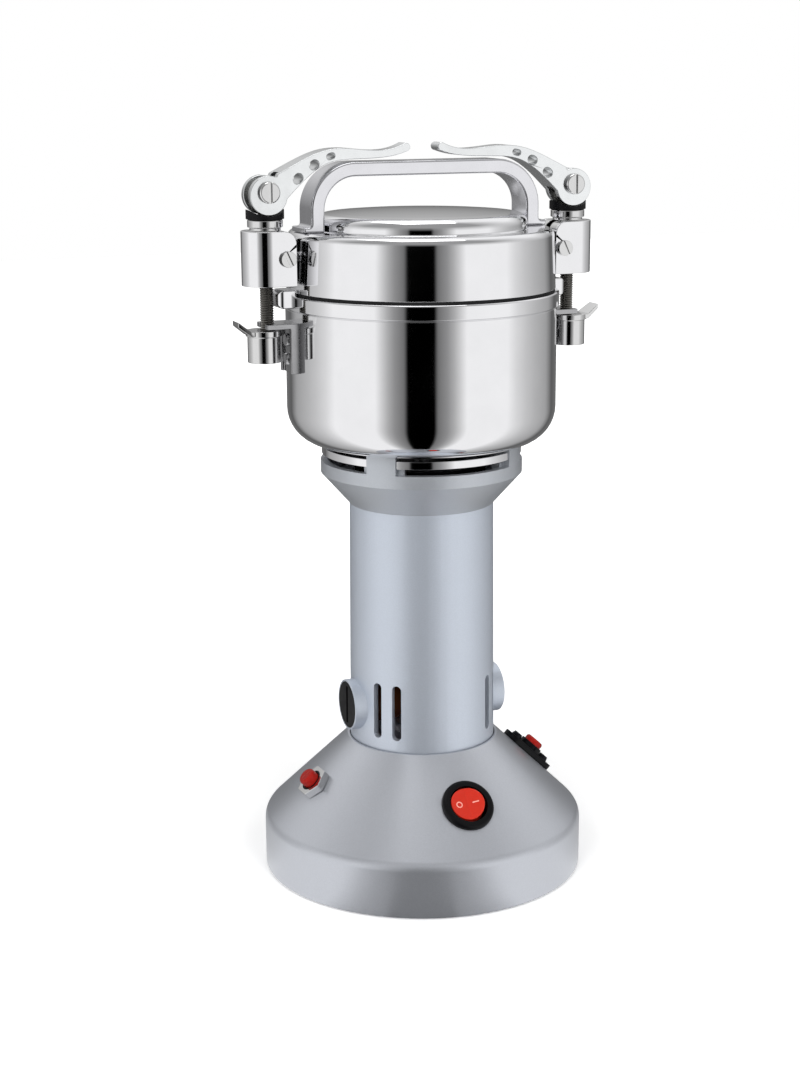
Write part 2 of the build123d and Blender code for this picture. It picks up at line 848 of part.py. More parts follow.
coil_inner = stator_bore + pole_shoe + coil_gap
coil_outer = yoke_inner - coil_gap
with BuildPart() as stator_coils:
    with BuildSketch(Plane.XY.offset(stator_bottom - coil_overhang)):
        for middle in (90, -90):
            ring_sector(coil_inner, coil_outer, middle, coil_span)
    extrude(amount=stator_height + 2 * coil_overhang)
    with BuildSketch(Plane.XY.offset(stator_bottom - coil_gap)):
        Rectangle(pole_neck + 2 * coil_gap, 2 * stator_radius)
    extrude(amount=stator_height + 2 * coil_gap, mode=Mode.SUBTRACT)
stator_coils.part.label = "stator_coils"
export_step(stator_coils.part, "parts/stator_coils.step")

with BuildPart() as tie_bolts:
    with BuildSketch(Plane.XY.offset(collar_floor_top)):
        with Locations(*rib_points):
            Circle(tie_head_radius)
    extrude(amount=tie_head_height)
    with BuildSketch(Plane.XY.offset(collar_floor_top)):
        with Locations(*rib_points):
            Circle(tie_bolt_radius - fit)
    extrude(amount=stator_bottom - tie_depth - collar_floor_top)
tie_bolts.part.label = "tie_bolts"
export_step(tie_bolts.part, "parts/tie_bolts.step")

# ---------------------------------------------------------------- rotor
shaft_bottom = lower_bearing_bottom + gap
journal_top = commutator_bottom - race_width
upper_blade_bottom = blade_bottom + blade_thickness + blade_spacing
blade_nut_bottom = upper_blade_bottom + blade_thickness
shaft_top = blade_nut_bottom + blade_nut_height + shaft_end
with BuildPart() as motor_shaft:
    with BuildSketch(Plane.XY.offset(shaft_bottom)):
        Circle(journal_radius)
    extrude(amount=journal_top - shaft_bottom)
    with BuildSketch(Plane.XY.offset(journal_top)):
        Circle(shaft_radius)
    extrude(amount=shaft_top - journal_top)
    chamfer(motor_shaft.edges().group_by(Axis.Z)[-1], shaft_radius / 5)
motor_shaft.part.label = "motor_shaft"
export_step(motor_shaft.part, "parts/motor_shaft.step")

armature_radius = stator_bore - air_gap
slot_floor = armature_radius - slot_depth
with BuildPart() as armature_core:
    with BuildSketch(Plane.XY.offset(stator_bottom)):
        Circle(armature_radius)
        Circle(shaft_radius + fit, mode=Mode.SUBTRACT)
        with PolarLocations(slot_floor + slot_depth / 2, armature_slots):
            Rectangle(slot_depth, slot_width, mode=Mode.SUBTRACT)
    extrude(amount=stator_height)
armature_core.part.label = "armature_core"
export_step(armature_core.part, "parts/armature_core.step")

# Copper bars fill the slots and join a rounded head of windings at each end.
with BuildPart() as armature_windings:
    for end, direction in ((stator_bottom, -1), (stator_top, 1)):
        with BuildSketch(Plane.XY.offset(end + direction * coil_gap)):
            Circle(winding_radius)
        extrude(amount=direction * winding_overhang)
    fillet(armature_windings.edges().group_by(Axis.Z)[0], winding_round)
    fillet(armature_windings.edges().group_by(Axis.Z)[-1], winding_round)
    with BuildSketch(Plane.XY.offset(stator_bottom - winding_overhang / 2)):
        with PolarLocations(slot_floor + slot_depth / 2, armature_slots):
            Rectangle(slot_depth - 2 * coil_gap, slot_width - 2 * coil_gap)
    extrude(amount=stator_height + winding_overhang)
    with BuildSketch(Plane.XY.offset(stator_bottom - 2 * winding_overhang)):
        Circle(shaft_radius + fit)
    extrude(amount=stator_height + 4 * winding_overhang, mode=Mode.SUBTRACT)
armature_windings.part.label = "armature_windings"
export_step(armature_windings.part, "parts/armature_windings.step")

with BuildPart() as commutator:
    with BuildSketch(Plane.XY.offset(commutator_bottom)):
        Circle(commutator_radius)
        Circle(shaft_radius + fit, mode=Mode.SUBTRACT)
        with PolarLocations(commutator_radius, commutator_bars):
            Rectangle(2 * bar_groove, bar_groove, mode=Mode.SUBTRACT)
    extrude(amount=commutator_height)
commutator.part.label = "commutator"
export_step(commutator.part, "parts/commutator.step")

with BuildPart() as cooling_fan:
    with BuildSketch(Plane.XY.offset(fan_bottom)):
        with PolarLocations((fan_radius + shaft_radius) / 2, fan_blades):
            Rectangle(fan_radius - shaft_radius, fan_blade, rotation=fan_sweep)
    extrude(amount=fan_height)
    with BuildSketch(Plane.XY.offset(fan_bottom)):
        Circle(fan_radius)
    extrude(amount=fan_height, mode=Mode.INTERSECT)
    with BuildSketch(Plane.XY.offset(fan_bottom)):
        Circle(fan_hub_radius)
    extrude(amount=fan_height)
    with BuildSketch(Plane.XY.offset(fan_bottom + fan_height)):
        Circle(fan_radius)
    extrude(amount=fan_disc)
    with BuildSketch(Plane.XY.offset(fan_bottom)):
        Circle(shaft_radius + fit)
    extrude(amount=fan_height + fan_disc, mode=Mode.SUBTRACT)
cooling_fan.part.label = "cooling_fan"
export_step(cooling_fan.part, "parts/cooling_fan.step")

# ---------------------------------------------------------------- collar
# The outer and inner outlines run parallel from the column to the wall of the collar.
wall_inner = collar_radius - collar_wall
with BuildPart() as collar:
    with BuildSketch(Plane.XZ):
        with BuildLine():
            Polyline(
                (0, collar_floor_bottom),
                (column_bore - fit, collar_floor_bottom),
                (column_bore - fit, column_top),
                (column_top_radius, column_top),
                (collar_radius, collar_wall_bottom),
                (collar_radius, window_bottom),
                (wall_inner, window_bottom),
                (wall_inner, collar_wall_bottom),
                (collar_floor_radius, collar_floor_top),
                (0, collar_floor_top),
                close=True,
            )
        make_face()
    revolve(axis=Axis.Z)
    with BuildSketch(Plane.XY.offset(collar_floor_bottom - spigot_depth)):
        Circle(column_bore - fit)
        Circle(column_bore - spigot_wall, mode=Mode.SUBTRACT)
    extrude(amount=spigot_depth)
    with BuildSketch(Plane.XY.offset(hub_bottom)):
        Circle(hub_radius)
    extrude(amount=collar_floor_top - hub_bottom)
    with BuildSketch(Plane.XY.offset(upper_bearing_bottom)):
        Circle(upper_bearing_radius + fit)
    extrude(amount=upper_bearing_width, mode=Mode.SUBTRACT)
    with BuildSketch(Plane.XY.offset(hub_bottom)):
        Circle(upper_bearing_radius + fit)
    extrude(amount=upper_bearing_bottom - hub_bottom, mode=Mode.SUBTRACT)
    with BuildSketch(Plane.XY.offset(collar_floor_bottom)):
        Circle(shaft_radius + air_gap)
        for middle in (0, 90, 180, 270):
            ring_sector(floor_vent_inner, floor_vent_outer, middle, floor_vent_span)
        with Locations(*rib_points):
            Circle(tie_bolt_radius + bolt_fit)
    extrude(amount=collar_floor, mode=Mode.SUBTRACT)
    with BuildSketch(Plane.XY.offset(trim_bottom)):
        for azimuth in pillar_azimuths:
            ring_sector(pillar_inner, wall_inner + gap, azimuth, ledge_span / 2)
    extrude(amount=collar_wall_bottom - trim_bottom)
    with BuildSketch(Plane.XY.offset(bowl_bottom)):
        for azimuth in pillar_azimuths:
            ring_sector(pillar_inner, collar_radius, azimuth, pillar_span / 2)
    extrude(amount=collar_wall_bottom - bowl_bottom)
    with BuildSketch(Plane.XY.offset(bowl_bottom)):
        with Locations(*[polar(bowl_bolt_circle, azimuth) for azimuth in pillar_azimuths]):
            Circle(bowl_bolt_radius)
    extrude(amount=-bowl_bolt_length, mode=Mode.SUBTRACT)
collar.part.label = "collar"
export_step(collar.part, "parts/collar.step")

# The polished ring in the windows is notched for the pillars and rests on their ledges.
notch_span = pillar_span + degrees(2 * bolt_fit / pillar_inner)
with BuildPart() as trim_ring:
    with BuildSketch(Plane.XY.offset(trim_bottom)):
        Circle(trim_radius)
        Circle(trim_inner, mode=Mode.SUBTRACT)
    extrude(amount=trim_height)
    with BuildSketch(Plane.XY.offset(trim_bottom)):
        for azimuth in pillar_azimuths:
            ring_sector(pillar_inner - gap, collar_radius, azimuth, notch_span / 2)
    extrude(amount=trim_height, mode=Mode.SUBTRACT)
trim_ring.part.label = "trim_ring"
export_step(trim_ring.part, "parts/trim_ring.step")

# ---------------------------------------------------------------- bowl
bowl_floor = bowl_bottom + bowl_wall
bowl_bore = bowl_radius - bowl_wall
bolt_points = [polar(bowl_bolt_circle, azimuth) for azimuth in pillar_azimuths]
with BuildPart() as bowl:
    with BuildSketch(Plane.XZ) as section:
        with BuildLine():
            Polyline(
                (0, bowl_bottom),
                (bowl_radius, bowl_bottom),
                (bowl_radius, bead_bottom),
                (bead_radius, bead_bottom + bead_round),
                (bead_radius, bowl_top),
                (0, bowl_top),
                close=True,
            )
        make_face()
        fillet(corner(section, bowl_radius, bowl_bottom), bowl_corner)
        fillet(corner(section, bead_radius, bowl_top), bead_round)
    revolve(axis=Axis.Z)
    with BuildSketch(Plane.XZ) as section:
        with BuildLine():
            Polyline(
                (0, bowl_floor),
                (bowl_bore, bowl_floor),
                (bowl_bore, bowl_top),
                (0, bowl_top),
                close=True,
            )
        make_face()
        fillet(corner(section, bowl_bore, bowl_floor), bowl_corner - bowl_wall)
    revolve(axis=Axis.Z, mode=Mode.SUBTRACT)
    for side in (1, -1):
        with BuildSketch(Plane.XY.offset(guide_bottom)) as section:
            with Locations((side * (guide_reach + bowl_radius) / 2, 0)):
                Rectangle(guide_reach - bowl_radius, guide_width)
            fillet(
                section.vertices().sort_by(Axis.X)[-2:] if side > 0
                else section.vertices().sort_by(Axis.X)[:2],
                guide_round,
            )
        extrude(amount=guide_top - guide_bottom)
    with BuildSketch(Plane.XY.offset(bowl_top)):
        Circle(lid_foot_radius + gap)
    extrude(amount=guide_top - bowl_top, mode=Mode.SUBTRACT)
    with BuildSketch(Plane.XY.offset(bowl_bottom)):
        Circle(seal_radius + fit)
        with Locations(*bolt_points):
            Circle(bowl_bolt_radius + bolt_fit)
    extrude(amount=bowl_wall, mode=Mode.SUBTRACT)
    for side in (1, -1):
        for height in rivet_heights:
            rivet_plane = Plane(origin=(0, 0, height), x_dir=(0, side, 0), z_dir=(side, 0, 0))
            with BuildSketch(rivet_plane):
                Circle(rivet_radius + fit)
            extrude(amount=bowl_radius, mode=Mode.SUBTRACT)
bowl.part.label = "bowl"
export_step(bowl.part, "parts/bowl.step")

with BuildPart() as bowl_bolts:
    with BuildSketch(Plane.XY.offset(bowl_floor)):
        with Locations(*bolt_points):
            Circle(bowl_bolt_head)
    extrude(amount=bowl_bolt_head_height)
    with BuildSketch(Plane.XY.offset(bowl_floor)):
        with Locations(*bolt_points):
            Circle(bowl_bolt_radius - fit)
    extrude(amount=-bowl_bolt_length)
bowl_bolts.part.label = "bowl_bolts"
export_step(bowl_bolts.part, "parts/bowl_bolts.step")

with BuildPart() as shaft_seal:
    with BuildSketch(Plane.XY.offset(bowl_floor)):
        Circle(seal_flange_radius)
    extrude(amount=seal_flange)
    with BuildSketch(Plane.XY.offset(bowl_floor)):
        Circle(seal_radius)
    extrude(amount=-seal_depth)
    with BuildSketch(Plane.XY.offset(bowl_floor - seal_depth)):
        Circle(shaft_radius + fit)
    extrude(amount=seal_depth + seal_flange, mode=Mode.SUBTRACT)
shaft_seal.part.label = "shaft_seal"
export_step(shaft_seal.part, "parts/shaft_seal.step")

# ---------------------------------------------------------------- catch brackets on the bowl
with BuildPart() as catch_brackets:
    for side in (1, -1):
        bend_plane = Plane(origin=(0, 0, 0), x_dir=(side, 0, 0), z_dir=(0, -side, 0))
        with BuildSketch(bend_plane) as section:
            with BuildLine():
                Polyline(
                    (bowl_bore, bracket_bottom),
                    (bowl_radius + bracket_plate, bracket_bottom),
                    (bowl_radius + bracket_plate, flange_top - flange_thickness),
                    (flange_end, flange_top - flange_thickness),
                    (flange_end, flange_top),
                    (bowl_bore, flange_top),
                    close=True,
                )
            make_face()
            fillet(
                corner(section, bowl_radius + bracket_plate, flange_top - flange_thickness),
                bracket_bend / 2,
            )
        extrude(amount=bracket_width / 2, both=True)
        for edge in (1, -1):
            with BuildSketch(Plane.XY.offset(bracket_bottom)):
                with Locations((
                    side * (bowl_radius + (bracket_plate + cheek_reach) / 2),
                    edge * (bracket_width - bracket_plate) / 2,
                )):
                    Rectangle(bracket_plate + cheek_reach, bracket_plate)
            extrude(amount=flange_top - bracket_bottom)
    with BuildSketch(Plane.XY.offset(bracket_bottom)):
        Circle(bowl_radius + fit)
    extrude(amount=flange_top - bracket_bottom, mode=Mode.SUBTRACT)
    with BuildSketch(Plane.XY.offset(flange_top)):
        for side in (1, -1):
            with Locations((side * rod_place, 0)):
                Circle(flange_slot / 2)
            with Locations((side * (rod_place + flange_end) / 2, 0)):
                Rectangle(flange_end - rod_place, flange_slot)
    extrude(amount=-flange_thickness, mode=Mode.SUBTRACT)
    for side in (1, -1):
        for height in rivet_heights:
            rivet_plane = Plane(origin=(0, 0, height), x_dir=(0, side, 0), z_dir=(side, 0, 0))
            with BuildSketch(rivet_plane):
                Circle(rivet_radius + fit)
            extrude(amount=flange_end, mode=Mode.SUBTRACT)
catch_brackets.part.label = "catch_brackets"
export_step(catch_brackets.part, "parts/catch_brackets.step")

rivet_seat = bowl_radius + bracket_plate
with BuildPart() as catch_rivets:
    for side in (1, -1):
        for height in rivet_heights:
            rivet_plane = Plane(origin=(0, 0, height), x_dir=(0, side, 0), z_dir=(side, 0, 0))
            with BuildSketch(rivet_plane.offset(bowl_bore - rivet_head_height)):
                Circle(rivet_radius)
            extrude(amount=rivet_seat - bowl_bore + rivet_head_height)
            with BuildSketch(rivet_plane.offset(rivet_seat)):
                Circle(rivet_head)
            extrude(amount=rivet_head_height, taper=rivet_taper)
            with BuildSketch(rivet_plane.offset(bowl_bore - gap)):
                Circle(rivet_head - gap)
            extrude(amount=-rivet_head_height + gap)
catch_rivets.part.label = "catch_rivets"
export_step(catch_rivets.part, "parts/catch_rivets.step")

# ---------------------------------------------------------------- blades
with BuildPart() as blade_spacers:
    lower_spacer_bottom = bowl_floor + seal_flange + gap
    for bottom, height in (
        (lower_spacer_bottom, blade_bottom - lower_spacer_bottom),
        (blade_bottom + blade_thickness, blade_spacing),
    ):
        with BuildSketch(Plane.XY.offset(bottom)):
            Circle(spacer_radius)
            Circle(shaft_radius + fit, mode=Mode.SUBTRACT)
        extrude(amount=height)
blade_spacers.part.label = "blade_spacers"
export_step(blade_spacers.part, "parts/blade_spacers.step")

# Each blade is a bar bent up or down at its tips and narrowed towards them.
for name, blade_plane, bottom, lift, turn in (
    ("lower_blade", Plane.XZ, blade_bottom, -blade_lift / 2, 0),
    ("upper_blade", Plane.YZ, upper_blade_bottom, blade_lift, 90),
):
    with BuildPart() as blade:
        with BuildSketch(blade_plane):
            with BuildLine():
                Polyline(
                    (-blade_reach, bottom + lift),
                    (-blade_bend, bottom),
                    (blade_bend, bottom),
                    (blade_reach, bottom + lift),
                    (blade_reach, bottom + blade_thickness + lift),
                    (blade_bend, bottom + blade_thickness),
                    (-blade_bend, bottom + blade_thickness),
                    (-blade_reach, bottom + blade_thickness + lift),
                    close=True,
                )
            make_face()
        extrude(amount=blade_width / 2, both=True)
        with BuildSketch(Plane.XY.offset(bottom - blade_lift).rotated((0, 0, turn))):
            with BuildLine():
                Polyline(
                    (-blade_reach, -blade_tip_width / 2),
                    (0, -blade_width / 2),
                    (blade_reach, -blade_tip_width / 2),
                    (blade_reach, blade_tip_width / 2),
                    (0, blade_width / 2),
                    (-blade_reach, blade_tip_width / 2),
                    close=True,
                )
            make_face()
            Circle(shaft_radius + fit, mode=Mode.SUBTRACT)
        extrude(amount=3 * blade_lift, mode=Mode.INTERSECT)
    blade.part.label = name
    export_step(blade.part, f"parts/{name}.step")

with BuildPart() as blade_nut:
    with BuildSketch(Plane.XY.offset(blade_nut_bottom)):
        RegularPolygon(blade_nut_flats / 2, 6, major_radius=False)
        Circle(shaft_radius + fit, mode=Mode.SUBTRACT)
    extrude(amount=blade_nut_height)
blade_nut.part.label = "blade_nut"
export_step(blade_nut.part, "parts/blade_nut.step")

# ---------------------------------------------------------------- lid
lid_foot = bowl_top + lid_seal_thickness
skirt_radius = bowl_bore - spigot_gap
skirt_bottom = lid_foot - spigot_skirt
lug_root = lid_rim_radius - lid_wall / 2
crown_bore = crown_radius - lid_wall
crown_rise = crown_height - crown_wall_top
dome_radius = (crown_radius ** 2 + crown_rise ** 2) / (2 * crown_rise)


def dome_height(across):
    """Height of the lid's domed top at this distance from the axis."""
    return crown_height - dome_radius + sqrt(dome_radius ** 2 - across ** 2)


def dome_arc(reach, top):
    """Draw the dome's section from this distance to the axis, inside a BuildLine."""
    span = degrees(asin(reach / dome_radius))
    return CenterArc((0, top - dome_radius), dome_radius, 90 - span, span)


with BuildPart() as lid:
    with BuildSketch(Plane.XZ) as section:
        with BuildLine():
            Polyline(
                (0, lid_foot),
                (lid_foot_radius, lid_foot),
                (lid_rim_radius, lid_rim_height),
                (crown_radius, lid_rim_height),
                (crown_radius, crown_wall_top),
            )
            dome_arc(crown_radius, crown_height)
            Line((0, crown_height), (0, lid_foot))
        make_face()
        fillet(corner(section, crown_radius, crown_wall_top), crown_round)
        fillet(corner(section, lid_rim_radius, lid_rim_height), lid_rim_round)
    revolve(axis=Axis.Z)
    with BuildSketch(Plane.XZ) as section:
        with BuildLine():
            Polyline(
                (0, lid_foot),
                (lid_foot_radius - lid_wall, lid_foot),
                (lid_rim_radius - lid_wall, lid_rim_height - lid_wall),
                (crown_bore, lid_rim_height - lid_wall),
                (crown_bore, dome_height(crown_bore) - lid_wall),
            )
            dome_arc(crown_bore, crown_height - lid_wall)
            Line((0, crown_height - lid_wall), (0, lid_foot))
        make_face()
        fillet(
            corner(section, crown_bore, dome_height(crown_bore) - lid_wall),
            crown_round - lid_wall,
        )
    revolve(axis=Axis.Z, mode=Mode.SUBTRACT)
    with BuildSketch(Plane.XY.offset(skirt_bottom)):
        Circle(skirt_radius)
        Circle(skirt_radius - skirt_wall, mode=Mode.SUBTRACT)
    extrude(amount=spigot_skirt + skirt_overlap)
    for side in (1, -1):
        lug_plane = Plane(origin=(0, 0, 0), x_dir=(side, 0, 0), z_dir=(0, -side, 0))
        with BuildSketch(lug_plane):
            with BuildLine():
                Polyline(
                    (lug_root, swing_height - lug_root_height / 2),
                    (swing_place, swing_height - lug_end_radius),
                    (swing_place, swing_height + lug_end_radius),
                    (lug_root, swing_height + lug_root_height / 2),
                    close=True,
                )
            make_face()
            with Locations((swing_place, swing_height)):
                Circle(lug_end_radius)
                Circle(swing_screw_radius + fit, mode=Mode.SUBTRACT)
        extrude(amount=lug_thickness / 2, both=True)
    with BuildSketch(Plane.XY.offset(lid_rim_height)):
        for side in (1, -1):
            with Locations((side * (handle_half_span - handle_thickness / 2), 0)):
                Circle(handle_screw_radius + bolt_fit)
    extrude(amount=-lid_wall, mode=Mode.SUBTRACT)
lid.part.label = "lid"
export_step(lid.part, "parts/lid.step")

with BuildPart() as lid_seal:
    with BuildSketch(Plane.XY.offset(bowl_top)):
        Circle(lid_foot_radius - gap)
        Circle(skirt_radius + fit, mode=Mode.SUBTRACT)
    extrude(amount=lid_seal_thickness)
lid_seal.part.label = "lid_seal"
export_step(lid_seal.part, "parts/lid_seal.step")

# ---------------------------------------------------------------- carry handle
handle_inner = handle_half_span - handle_thickness
handle_under = handle_top - handle_thickness
with BuildPart() as handle:
    with BuildSketch(Plane.XZ) as section:
        with Locations((0, (handle_top + lid_rim_height) / 2)):
            Rectangle(2 * handle_half_span, handle_top - lid_rim_height)
        with Locations((0, lid_rim_height + foot_thickness / 2)):
            Rectangle(2 * foot_reach, foot_thickness)
        for side in (1, -1):
            fillet(corner(section, side * handle_half_span, handle_top), handle_corner)
            fillet(
                corner(section, side * handle_half_span, lid_rim_height + foot_thickness),
                foot_bend,
            )
    extrude(amount=handle_width / 2, both=True)
    with BuildSketch(Plane.XZ) as section:
        with Locations((0, (handle_under + lid_rim_height) / 2)):
            Rectangle(2 * handle_inner, handle_under - lid_rim_height)
        for side in (1, -1):
            fillet(
                corner(section, side * handle_inner, handle_under),
                handle_corner - handle_thickness,
            )
    extrude(amount=handle_width, both=True, mode=Mode.SUBTRACT)
    chamfer(handle.faces().sort_by(Axis.Y)[0].edges(), handle_edge / 2)
    chamfer(handle.faces().sort_by(Axis.Y)[-1].edges(), handle_edge / 2)
    with BuildSketch(Plane.XY.offset(lid_rim_height)):
        for side in (1, -1):
            with Locations((side * (handle_half_span - handle_thickness / 2), 0)):
                Circle(handle_screw_radius)
    extrude(amount=handle_screw_length, mode=Mode.SUBTRACT)
handle.part.label = "handle"
export_step(handle.part, "parts/handle.step")

with BuildPart() as handle_screws:
    for side in (1, -1):
        screw_place = side * (handle_half_span - handle_thickness / 2)
        with BuildSketch(Plane.XY.offset(lid_rim_height - lid_wall)):
            with Locations((screw_place, 0)):
                Circle(handle_screw_head)
        extrude(amount=-handle_screw_head_height)
        with BuildSketch(Plane.XY.offset(lid_rim_height - lid_wall)):
            with Locations((screw_place, 0)):
                Circle(handle_screw_radius - fit)
        extrude(amount=handle_screw_length)
handle_screws.part.label = "handle_screws"
export_step(handle_screws.part, "parts/handle_screws.step")

# ---------------------------------------------------------------- clamp pivots
pivot_grip = strap_radius + bolt_fit
with BuildPart() as clamp_pivots:
    for side in (1, -1):
        front_plane = Plane(
            origin=(side * swing_place, -pivot_grip, swing_height),
            x_dir=(1, 0, 0),
            z_dir=(0, -1, 0),
        )
        with BuildSketch(front_plane):
            Circle(swing_head_radius)
        extrude(amount=swing_head_height)
        with BuildSketch(front_plane.offset(swing_head_height)):
            Rectangle(screw_slot, 2 * swing_head_radius, rotation=swing_slot_turn)
        extrude(amount=-screw_slot_depth, mode=Mode.SUBTRACT)
        with BuildSketch(front_plane):
            Circle(swing_screw_radius)
        extrude(amount=-2 * pivot_grip)
        with BuildSketch(front_plane.offset(-2 * pivot_grip)):
            RegularPolygon(swing_head_radius, 6)
        extrude(amount=-swing_head_height)
clamp_pivots.part.label = "clamp_pivots"
export_step(clamp_pivots.part, "parts/clamp_pivots.step")

# ---------------------------------------------------------------- swinging clamps
side_view = Plane.XZ
with BuildPart() as strap:
    with BuildSketch(Plane.XY.offset(strap_bottom)):
        with Locations((rod_place, 0)):
            Circle(strap_radius)
        with Locations(((rod_place + strap_end) / 2, 0)):
            Rectangle(rod_place - strap_end, 2 * strap_radius)
        with Locations((rod_place, 0)):
            Circle(strap_radius - strap_wall, mode=Mode.SUBTRACT)
        with Locations(((rod_place + strap_end) / 2, 0)):
            Rectangle(
                rod_place - strap_end,
                2 * (strap_radius - strap_wall),
                mode=Mode.SUBTRACT,
            )
    extrude(amount=strap_top - strap_bottom)
    fillet(
        strap.edges().filter_by(Axis.Y).group_by(Axis.X)[0].group_by(Axis.Z)[-1],
        strap_corner,
    )
    with BuildSketch(side_view):
        with Locations((swing_place, swing_height)):
            Circle(swing_screw_radius + fit)
    extrude(amount=2 * strap_radius, both=True, mode=Mode.SUBTRACT)
write_pair(strap.part, "clamp_strap")

barrel_radius = strap_radius - strap_wall - fit
tongue_half_width = barrel_radius
with BuildPart() as barrel:
    with BuildSketch(Plane.XY.offset(strap_bottom)):
        with Locations((rod_place, 0)):
            Circle(barrel_radius)
        with Locations(((rod_place + tongue_end) / 2, 0)):
            Rectangle(rod_place - tongue_end, 2 * tongue_half_width)
    extrude(amount=strap_top - strap_bottom)
    fillet(
        barrel.edges().filter_by(Axis.Y).group_by(Axis.X)[0].group_by(Axis.Z)[-1],
        strap_corner - (tongue_end - strap_end),
    )
    with BuildSketch(Plane.XY.offset(strap_top)):
        with Locations((rod_place, 0)):
            Circle(barrel_neck_radius)
    extrude(amount=barrel_ring_bottom - strap_top)
    with BuildSketch(Plane.XY.offset(barrel_ring_bottom)):
        with Locations((rod_place, 0)):
            Circle(barrel_ring_radius)
    extrude(amount=barrel_top - barrel_ring_bottom)
    fillet(barrel.edges().group_by(Axis.Z)[-1], ring_round)
    with BuildSketch(Plane.XY.offset(strap_bottom)):
        with Locations((rod_place, 0)):
            Circle(rod_radius + gap)
    extrude(amount=barrel_top - strap_bottom, mode=Mode.SUBTRACT)
    with BuildSketch(Plane.XY.offset(strap_bottom)):
        with Locations(((tongue_end + rod_place) / 2, 0)):
            Rectangle(rod_place - tongue_end, lug_thickness + 2 * gap)
    extrude(amount=strap_top - strap_bottom, mode=Mode.SUBTRACT)
    with BuildSketch(side_view):
        with Locations((swing_place, swing_height)):
            Circle(swing_screw_radius + fit)
    extrude(amount=2 * strap_radius, both=True, mode=Mode.SUBTRACT)
write_pair(barrel.part, "clamp_barrel")

cam_height = pivot_height - cam_offset
pad_floor = cam_height - cam_radius - gap
with BuildPart() as cam_pad:
    with BuildSketch(Plane.XY.offset(barrel_top)):
        with Locations((rod_place, 0)):
            Circle(pad_radius)
            Circle(rod_radius + gap, mode=Mode.SUBTRACT)
    extrude(amount=pad_horn - barrel_top)
    with BuildSketch(side_view):
        with Locations((rod_place, pad_floor + pad_dish)):
            Circle(pad_dish)
    extrude(amount=2 * pad_radius, both=True, mode=Mode.SUBTRACT)
write_pair(cam_pad.part, "cam_pad")

# ---------------------------------------------------------------- clamp rods and hooks
hook_top = flange_top - flange_thickness - hook_gap
hook_bottom = hook_top - hook_height
with BuildPart() as clamp_rod:
    with BuildSketch(Plane.XY.offset(hook_bottom + gap)):
        with Locations((rod_place, 0)):
            Circle(rod_radius)
    extrude(amount=pivot_height - cam_radius - hook_bottom - gap)
    with BuildSketch(Plane.XY.offset(pivot_height - cam_radius)):
        with Locations((rod_place, 0)):
            Rectangle(2 * rod_radius, cheek_gap - 2 * gap)
    extrude(amount=cam_radius)
    with BuildSketch(side_view):
        with Locations((rod_place, pivot_height)):
            Circle(eye_radius)
    extrude(amount=cheek_gap / 2 - gap, both=True)
    with BuildSketch(side_view):
        with Locations((rod_place, pivot_height)):
            Circle(lever_screw_radius + fit)
    extrude(amount=eye_radius, both=True, mode=Mode.SUBTRACT)
write_pair(clamp_rod.part, "clamp_rod")

# The cast hook: a stout body under the flange, with a thumb tab that rises outward.
with BuildPart() as hook:
    with BuildSketch(Plane.XY.offset(hook_bottom)):
        with Locations((rod_place + hook_offset, 0)):
            Circle(hook_radius)
    extrude(amount=hook_height)
    with BuildSketch(Plane.XY.offset(hook_top - hook_collar)):
        with Locations((rod_place + hook_offset, 0)):
            Circle(hook_radius + hook_collar_extra)
    extrude(amount=hook_collar)
    with BuildSketch(side_view):
        with BuildLine():
            Polyline(
                (rod_place + hook_offset + rod_radius, hook_top - tab_thickness),
                (rod_place + hook_offset + hook_radius, hook_top - tab_thickness),
                (tab_reach, hook_top - tab_thickness + tab_rise),
                (tab_reach, hook_top + tab_rise),
                (rod_place + hook_offset + hook_radius, hook_top),
                (rod_place + hook_offset + rod_radius, hook_top),
                close=True,
            )
        make_face()
    extrude(amount=tab_width / 2, both=True)
    with BuildSketch(Plane.XY.offset(hook_top + tab_rise)):
        with BuildLine():
            Polyline(
                (tab_reach, -tab_tip_width / 2),
                (tab_reach, -hook_radius * 2),
                (rod_place + hook_offset + hook_radius, -hook_radius * 2),
                (rod_place + hook_offset + hook_radius, -tab_width / 2),
                close=True,
            )
        make_face()
        mirror(about=Plane.XZ)
    extrude(amount=-hook_height, mode=Mode.SUBTRACT)
    with BuildSketch(Plane.XY.offset(hook_bottom)):
        with Locations((rod_place, 0)):
            Circle(rod_radius + fit)
    extrude(amount=hook_height + tab_rise, mode=Mode.SUBTRACT)
write_pair(hook.part, "clamp_hook")

# ---------------------------------------------------------------- cam levers
# The arm leaves the cam, climbs over the handle's corner and runs inward to its tip.
# Points are measured from the lever's screw: across towards the mill's axis, and up.
lever_top_edge = [(4.1, 7.6), (16.9, 13.8), (25.7, 16.8), (34.0, 17.5), (45.8, 16.5), (61.5, 18.9)]
lever_under_edge = [(62.6, 15.6), (50.4, 13.2), (36.6, 12.8), (27.9, 11.8), (13.6, 2.6), (7.6, -3.2)]
lever_tip = (64.2, 17.4)
# Each window in the arm: across, up, length, width and slant in degrees.
lever_windows = [
    (12.9, 5.4, 4.7, 3.8, 45.0),
    (20.2, 10.9, 4.5, 3.8, 35.0),
    (27.7, 14.3, 3.8, 2.6, 15.0),
]


def lever_point(point):
    """Place a point measured from the lever's screw in the side view."""
    return rod_place - point[0], pivot_height + point[1]


